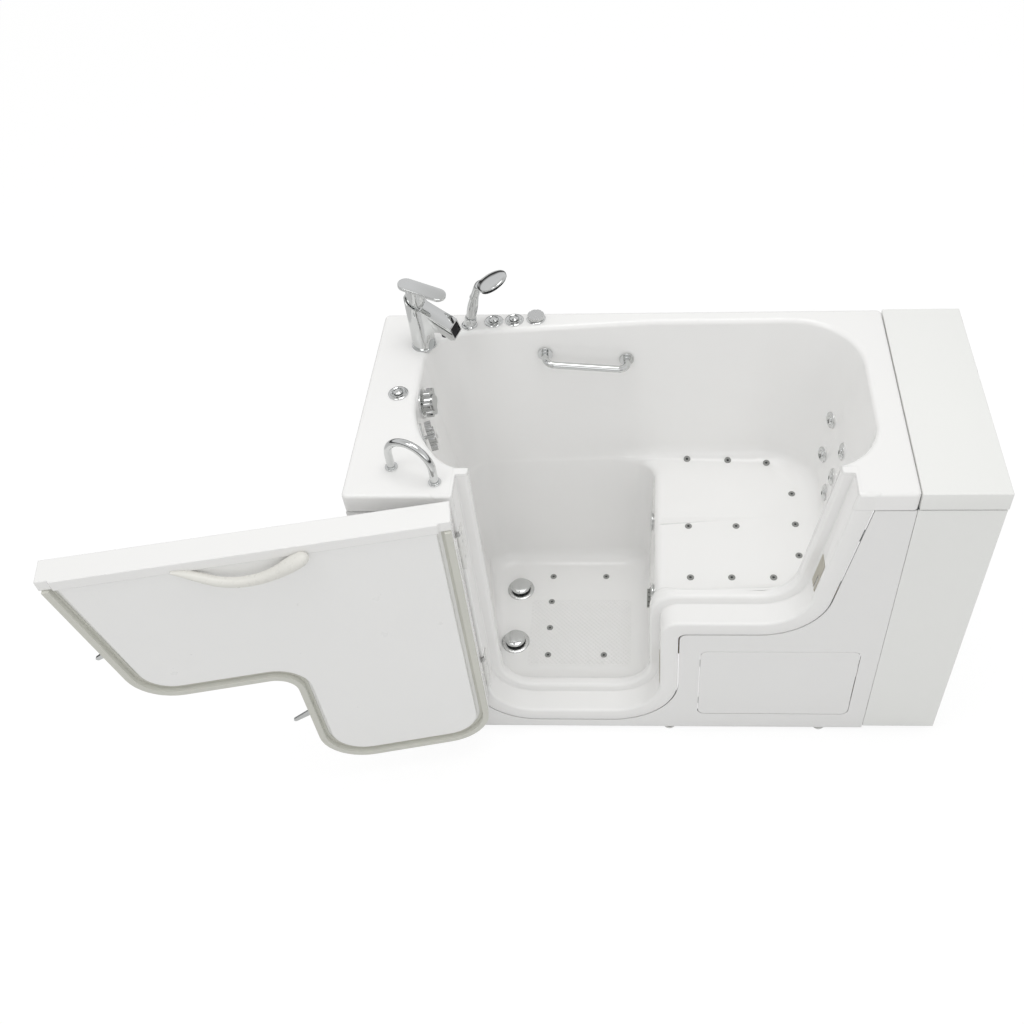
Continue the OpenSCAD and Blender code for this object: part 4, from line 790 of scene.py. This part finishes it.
def slab(name, outline, y0, y1):
    """An outline in X and Z, in millimetres on the origin, drawn through from y0 to y1."""
    n = len(outline)
    points = [Vector((x, y, z)) - TUB * 1000 for y in (y0, y1) for x, z in outline]
    faces = [list(range(n)), list(range(2 * n - 1, n - 1, -1))]
    faces += [(i, (i + 1) % n, n + (i + 1) % n, n + i) for i in range(n)]
    return new_mesh(name, points, faces)


def turned(name, profile, place, sides=64):
    """A closed section of (radius, height) corners spun round a placed axis."""
    mesh = bpy.data.meshes.new(name)
    n = len(profile)
    mesh.from_pydata([(r / 1000, 0, z / 1000) for r, z in profile], [(i, (i + 1) % n) for i in range(n)], [])
    piece = bpy.data.objects.new(name, mesh)
    bpy.context.collection.objects.link(piece)
    bpy.ops.object.select_all(action="DESELECT")
    piece.select_set(True)
    bpy.context.view_layer.objects.active = piece
    bpy.ops.object.mode_set(mode="EDIT")
    bpy.ops.mesh.select_all(action="SELECT")
    bpy.ops.mesh.spin(steps=sides, angle=2 * pi, center=(0, 0, 0), axis=(0, 0, 1))
    bpy.ops.mesh.select_all(action="SELECT")
    bpy.ops.mesh.remove_doubles(threshold=1e-6)
    bpy.ops.mesh.dissolve_degenerate(threshold=1e-7)
    bpy.ops.mesh.normals_make_consistent(inside=False)
    bpy.ops.object.mode_set(mode="OBJECT")
    piece.data.transform(place)
    bpy.ops.object.shade_smooth_by_angle(angle=radians(40))
    return piece


def ease(piece, width, segments=3, angle=35):
    """Bevels every sharp edge for good."""
    bpy.context.view_layer.objects.active = piece
    eased = piece.modifiers.new("eased", "BEVEL")
    eased.width = width
    eased.segments = segments
    eased.limit_method = "ANGLE"
    eased.angle_limit = radians(angle)
    eased.harden_normals = True
    bpy.ops.object.modifier_apply(modifier="eased")
    return piece


def stand_in(piece, node, mat):
    """Puts a finished piece in the place of its CAD node."""
    piece.name = node + "_look"
    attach(piece, frame["nodes"][node]["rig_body"])
    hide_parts(node)
    dress(piece, mat)


UP = Matrix.Identity(4)
body = rod_at(UP, 30, 0, 158, 96)
hood = slab("hood", ((0, 26), (103.5, 26), (103.5, 160), (0, 160)), -23, 23)
combine(body, hood, "UNION")
# the body's side: a hollow curve under the spout and a slope down to its mouth
under = [(22 + 40 * (1 - cos(t)), 36 + 33 * sin(t)) for t in arc(8)]
side = slab("side", [(-31, 0), (22, 0)] + under + [(92, 50), (103, 53), (93, 86), (-31, 155)], -40, 40)
combine(body, side, "INTERSECT")
mouth = Matrix.Translation((0.098, 0, 0.0695)) @ Matrix.Rotation(-atan2(10, 33), 4, "Y")
bpy.ops.mesh.primitive_cube_add(size=1)
opening = bpy.context.object
opening.data.transform(mouth @ Matrix.Diagonal((0.028, 0.040, 0.028, 1)))
combine(body, opening, "DIFFERENCE")
combine(body, rod_at(UP @ Matrix.Translation((0.066, 0, 0)), 10.5, 30, 64, 48), "DIFFERENCE")
# the cup that the lever's skirt tips into
combine(body, rod_at(UP, 25.8, 131, 170), "DIFFERENCE")
ease(body, 0.0012)
body.data.transform(TAP)
foot = turned("foot", ((0, 0), (33, 0), (33, 2), (32, 3.2), (29, 3.2), (0, 3.2)), TAP)
tail = rod_at(TAP @ Matrix.Translation((0, 0, -0.11)), 5, 0, 110, 32)
shank = rod_at(TAP, 15, -50, 1, 48)
join([body, foot, tail, shank])
bpy.ops.object.shade_smooth_by_angle(angle=radians(35))
stand_in(body, "faucet_body", chrome)
dress(cast("faucet_cartridge", 0.0004), chrome)
half_turn = arc(16) + [pi - a for a in arc(16)[-2::-1]]
oval = [(-19 - 22 * sin(t), -22 * cos(t)) for t in half_turn]
oval += [(63 + 22 * sin(t), 22 * cos(t)) for t in half_turn]
n = len(oval)
plate = new_mesh("plate", [Vector((x, y, z)) - TUB * 1000 for z in (-5, 4) for x, y in oval],
                 [list(range(n)), list(range(2 * n - 1, n - 1, -1))]
                 + [(i, (i + 1) % n, n + (i + 1) % n, n + i) for i in range(n)])
ease(plate, 0.0018, 4)
plate.data.transform(Matrix.Translation((0, 0, 0.184)) @ Matrix.Rotation(radians(10.5), 4, "Y"))
skirt = ((19.2, 141), (23.5, 141), (24, 146), (23, 166), (22.5, 183.3), (0, 176), (0, 160), (19.2, 160))
neck = turned("neck", skirt, UP)
join([plate, neck])
plate.data.transform(TAP)
bpy.ops.object.shade_smooth_by_angle(angle=radians(35))
stand_in(plate, "faucet_lever", chrome)
# Dark plastic for the pump, blower, aerator and spray face; on the drain throats and the air jets' centres it
# is painted shade.
dark = coat("dark_plastic", (0.024, 0.025, 0.028), 0.42, grain=300, depth=0.00008, vary=0.08)
# the mouth's dark insert: upright fins on a back sheet, each (depth, side, sizes)
insert = []
fins = [(-6.5, y, (9, 1.6, 27.2)) for y in range(-16, 17, 4)]
for depth, side, sizes in fins + [(-11.5, 0, (3, 39.2, 27.2))]:
    bpy.ops.mesh.primitive_cube_add(size=1)
    fin = bpy.context.object
    fin.data.transform(TAP @ mouth @ Matrix.Translation((depth / 1000, side / 1000, 0))
                       @ Matrix.Diagonal((*(s / 1000 for s in sizes), 1)))
    insert.append(fin)
outlet = cast("faucet_aerator", 0.0004)
join([outlet] + insert)
dress(outlet, dark)

# ---- Deck nuts ----
# Brass back-nuts run up the fittings' threads under the deck, and plated like
# the fittings that they hold.
dress(cast("deck_nuts", 0.0006), chrome)

# ---- Hand shower ----
# A plated paddle-shaped shower that parks in a ringed socket in the deck. Its
# handle swells in the middle and flows into the back of the head.
HAND = set_at(233, 611, DECK) @ Matrix.Rotation(radians(-10), 4, "Z")
LEAN = HAND @ Matrix.Rotation(radians(14.8), 4, "Y")
base = turned("base", ((0, 0), (21, 0), (21, 2.5), (20, 4), (18, 4.6), (17, 6), (15.5, 9), (0, 9)), HAND)
cone = turned("cone", ((11.2, 8), (11.2, 30), (14.4, 30), (15, 29), (15, 26.5), (14.2, 25.6), (15.2, 24.6),
                       (15.6, 16), (16, 5), (0, 5), (0, 8)), LEAN)
shank = rod_at(HAND, 14, -46, 1, 48)
join([base, cone, shank])
stand_in(base, "shower_socket", chrome)
grip = swept("grip", (
    ((0, 0, 14.5), 10.9, 10.9), ((0, 0, 30.5), 10.9, 10.9), ((0, 0, 31.5), 12.6, 12.6),
    ((0, 0, 50), 13.6, 13.6), ((0, 0, 68), 13.8, 13.6), ((0, 0, 88), 12.4, 11.8),
    ((0, 0, 104), 12, 10.4)), (0, 1, 0), 40)
grip.data.transform(Matrix.Translation(-TUB))
grip.data.transform(LEAN)
# the head sits 14 degrees flatter than its solid, and 5 mm further out
HEAD = Vector((81, 0, 147))
TIP = (Matrix.Translation(HEAD / 1000) @ Matrix.Rotation(radians(14), 4, "Y")
       @ Matrix.Translation((-0.076, 0, -0.146)))
along, out = (TIP.to_3x3() @ Vector(v) for v in ((0.737, 0, 0.676), (0.676, 0, -0.737)))
rows = [((22.5, 0, 93), 12.2, 11), ((29, 0, 106), 13.5, 10.4)]
for u, half, deep in ((-44, 17, 9.6), (-37, 23, 9.4), (-29, 31, 9.4), (-19, 37.5, 9.6),
                      (-8, 41, 9.4), (4, 42, 8.8), (16, 39.5, 8), (27, 32.5, 7),
                      (35, 23.5, 6), (40, 13, 4.5), (42, 4, 2.5)):
    rows.append((HEAD + along * u - out * (deep - 2), half, deep))
paddle = swept("paddle", rows, (0, 1, 0), 48, 4)
paddle.data.transform(Matrix.Translation(-TUB))
face_seat = Matrix.Translation(HEAD / 1000) @ out.to_track_quat("Z", "Y").to_matrix().to_4x4()
combine(paddle, rod_at(face_seat, 38.2, -1.2, 12), "DIFFERENCE")
paddle.data.transform(HAND)
join([grip, paddle])
bpy.ops.object.shade_smooth_by_angle(angle=radians(40))
stand_in(grip, "hand_shower", chrome)
spray = cast("shower_face", 0.0004)
spray.data.transform(HAND @ TIP @ HAND.inverted())
dress(spray, dark)

# ---- Deck buttons ----
# Air-switch push buttons: a stepped plated bezel, a dark ring-shaped groove
# and a domed centre; the air valve has a flat satin knob with notches.
BUTTONS = {"jets_button": (297, 624), "blower_button": (351, 628), "light_button": (83, 345)}
AIR_CONTROL = (409, 633)
ring = ((12.1, -18), (12.1, 2), (14.6, 2), (14.6, 6), (16.5, 7), (18.8, 6.4), (19.6, 4.4),
        (23.5, 3.8), (25, 2.4), (25, 0), (15, 0), (15, -22), (12.1, -22))
bezels = [turned("bezel", ring, set_at(x, y, DECK)) for x, y in (*BUTTONS.values(), AIR_CONTROL)]
join(bezels)
stand_in(bezels[0], "button_bezels", chrome)
cap = ((0, -12), (11.9, -12), (11.9, 6.5), (11.2, 8), (9.5, 8.4), (8.4, 9.6), (5, 11), (0, 11.4))
for node, (x, y) in BUTTONS.items():
    stand_in(turned("dome", cap, set_at(x, y, DECK)), node, chrome)
satin = coat("satin_chrome", (0.66, 0.665, 0.66), 0.26, metal=1.0, grain=200, depth=0.00003, vary=0.04)
dress(cast("air_control", 0.0012, 3), satin)

# ---- Grab bars ----
# Bent and polished steel tube on round feet: an arc bolted to the deck and a
# straight bar on the back wall, which slopes a little down to the right.
dress(cast("deck_grab_bar", 0.0008, 3), chrome)
bar = cast("wall_grab_bar", 0.0008, 3)
left_end, right_end = (
    coarse[7][i].lerp(coarse[7][i + 1], u).lerp(coarse[8][i].lerp(coarse[8][i + 1], u), 0.19)
    for i, u in ((21, 0.5), (23, 0.6)))
along = Vector((right_end.x - left_end.x, right_end.y - left_end.y, 0)).normalized()
half_span, shift, drop = 111, 0.012, 0.006
middle = TUB + (left_end + along * half_span) / 1000
bar.data.transform(Matrix.Translation(middle + along * shift - Vector((0, 0, drop)))
                   @ Matrix.Rotation(radians(-9), 4, along.cross(Vector((0, 0, 1))))
                   @ Matrix.Translation(-middle))
dress(bar, chrome)

# ---- Drains ----
# Two plated waste fittings in the footwell's floor, each a flange over a throat
# that is dark as painted shade, with a domed stopper whose stem slides in the hub of a three-armed spider.
flange = ((30, 0), (30, 2.6), (31, 3.4), (39.5, 3.1), (41.4, 2), (42, 0))
hub = ((3.05, -20), (3.05, -6), (6, -6), (6, -20))
throat = ((20, -31), (20, -8), (22.5, -0.5), (30.2, 2.4), (30.2, 0.2), (24, 0.1), (24, -31))
stopper = ((0, -29), (3, -29), (3, 14), (27, 14.2), (30.4, 16), (30.8, 18.6), (29.4, 21), (26, 22.6),
           (16, 24), (0, 24.6))
flanges = []
for place in drain_places:
    flanges += [turned("flange", flange, place), turned("hub", hub, place, 32)]
    for turn in (0, 120, 240):
        bpy.ops.mesh.primitive_cube_add(size=1)
        arm = bpy.context.object
        arm.data.transform(place @ Matrix.Rotation(radians(turn), 4, "Z")
                           @ Matrix.Translation((0.0128, 0, -0.015))
                           @ Matrix.Diagonal((0.0155, 0.003, 0.01, 1)))
        flanges.append(arm)
join(flanges)
stand_in(flanges[0], "drain_bodies", satin)
# The throats are dark as painted shade, standing for the shadow under each stopper.
painted_shade_throats = [turned("throat", throat, place) for place in drain_places]
join(painted_shade_throats)
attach(painted_shade_throats[0], "tub")
dress(painted_shade_throats[0], dark)
for node, place in zip(("rear_stopper", "front_stopper"), drain_places):
    stand_in(turned("cap", stopper, place), node, chrome)
waste = coat("waste_plastic", (0.27, 0.28, 0.29), 0.5, grain=240, depth=0.0001, vary=0.05)
dress(cast("waste_pipes", 0.0008), waste)

# ---- Drain knobs ----
# Two lobed, plated knobs on round overflow plates in the left wall, one for
# each stopper; the plates' tails pass through the wall to the overflow pipe.
dress(cast("overflow_plates", 0.0008, 3), chrome)
smoky = coat("smoky_chrome", (0.50, 0.505, 0.50), 0.09, metal=1.0, grain=70, depth=0.00002, vary=0.02)
knob_out, knob_wider = 0.007, 1.2
for node, place in zip(("rear_drain_knob", "front_drain_knob"), knob_seats):
    knob = cast(node, 0.0015, 3)
    knob.data.transform(place @ Matrix.Translation((0, 0, knob_out))
                        @ Matrix.Diagonal((knob_wider, knob_wider, 1, 1)) @ place.inverted())
    dress(knob, smoky)

# ---- Jets ----
# Plated water jets, with turning nozzles in the seat's back, and a grey grille
# over the suction; small grey air jets in the seat and floor, their centres dark as painted shade.
bodies = cast("jet_bodies", 0.0006, 3)
face_r, face_wider = 0.026, 1.35
for m in foot_jets[2:]:
    for v in bodies.data.vertices:
        p = m.inverted() @ v.co
        if p.xy.length < face_r and -0.001 < p.z < 0.012:
            v.co = m @ Vector((p.x * face_wider, p.y * face_wider, p.z))
dress(bodies, chrome)
for number in range(1, 6):
    dress(cast("back_nozzle_%d" % number, 0.0008, 3), chrome)
grey = coat("grey_plastic", (0.30, 0.305, 0.29), 0.36, grain=260, depth=0.0001, vary=0.04)
dress(cast("suction_cover", 0.0008, 3), grey)
floor_spots = [(401, y, FLOOR) for y in (198, 297, 396, 495)] + [(569, y, FLOOR) for y in (198, 495)]
seat_spots = [(x, 150, SEAT) for x in (817, 927, 1038)] + [(x, 330, SEAT) for x in (816, 948)]
seat_spots += [(1112, y, SEAT) for y in (225, 336, 450)]
spots = [set_at(*spot) for spot in floor_spots + seat_spots]
spots += [on_wall(10, u, 0.5) @ Matrix.Translation((0, 0, -PAD_RISE / 1000)) for u in (31.18, 31.68, 33.4)]
rim = ((3.6, -9), (3.6, 1), (4.6, 1.3), (7, 2.2), (8.6, 2), (9.6, 1), (9.8, -0.4), (7, -0.4), (7, -9))
centre = ((0, -8), (3.6, -8), (3.6, 0.7), (2.6, 1.3), (0, 1.5))
rims = [turned("rim", rim, m, 40) for m in spots]
# Each jet's centre is dark as painted shade, for the shade inside its recessed middle.
painted_shade_centres = [turned("centre", centre, m, 24) for m in spots]
join(rims)
stand_in(rims[0], "air_jets", grey)
join(painted_shade_centres)
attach(painted_shade_centres[0], "tub")
dress(painted_shade_centres[0], dark)

# ---- Plant ----
# The dark moulded pump and blower and the grey control box, screwed to boards
# under the seat, and the glued white plastic pipes that feed the jets.
dress(cast("jet_pump", 0.002, 3), dark)
dress(cast("air_blower", 0.002, 3), dark)
pipe_white = coat("pipe_white", (0.74, 0.75, 0.745), 0.4, grain=180, depth=0.0001, vary=0.02)
dress(cast("jet_pipes", 0.0006), pipe_white)
dress(cast("control_box", 0.002, 3), grey)
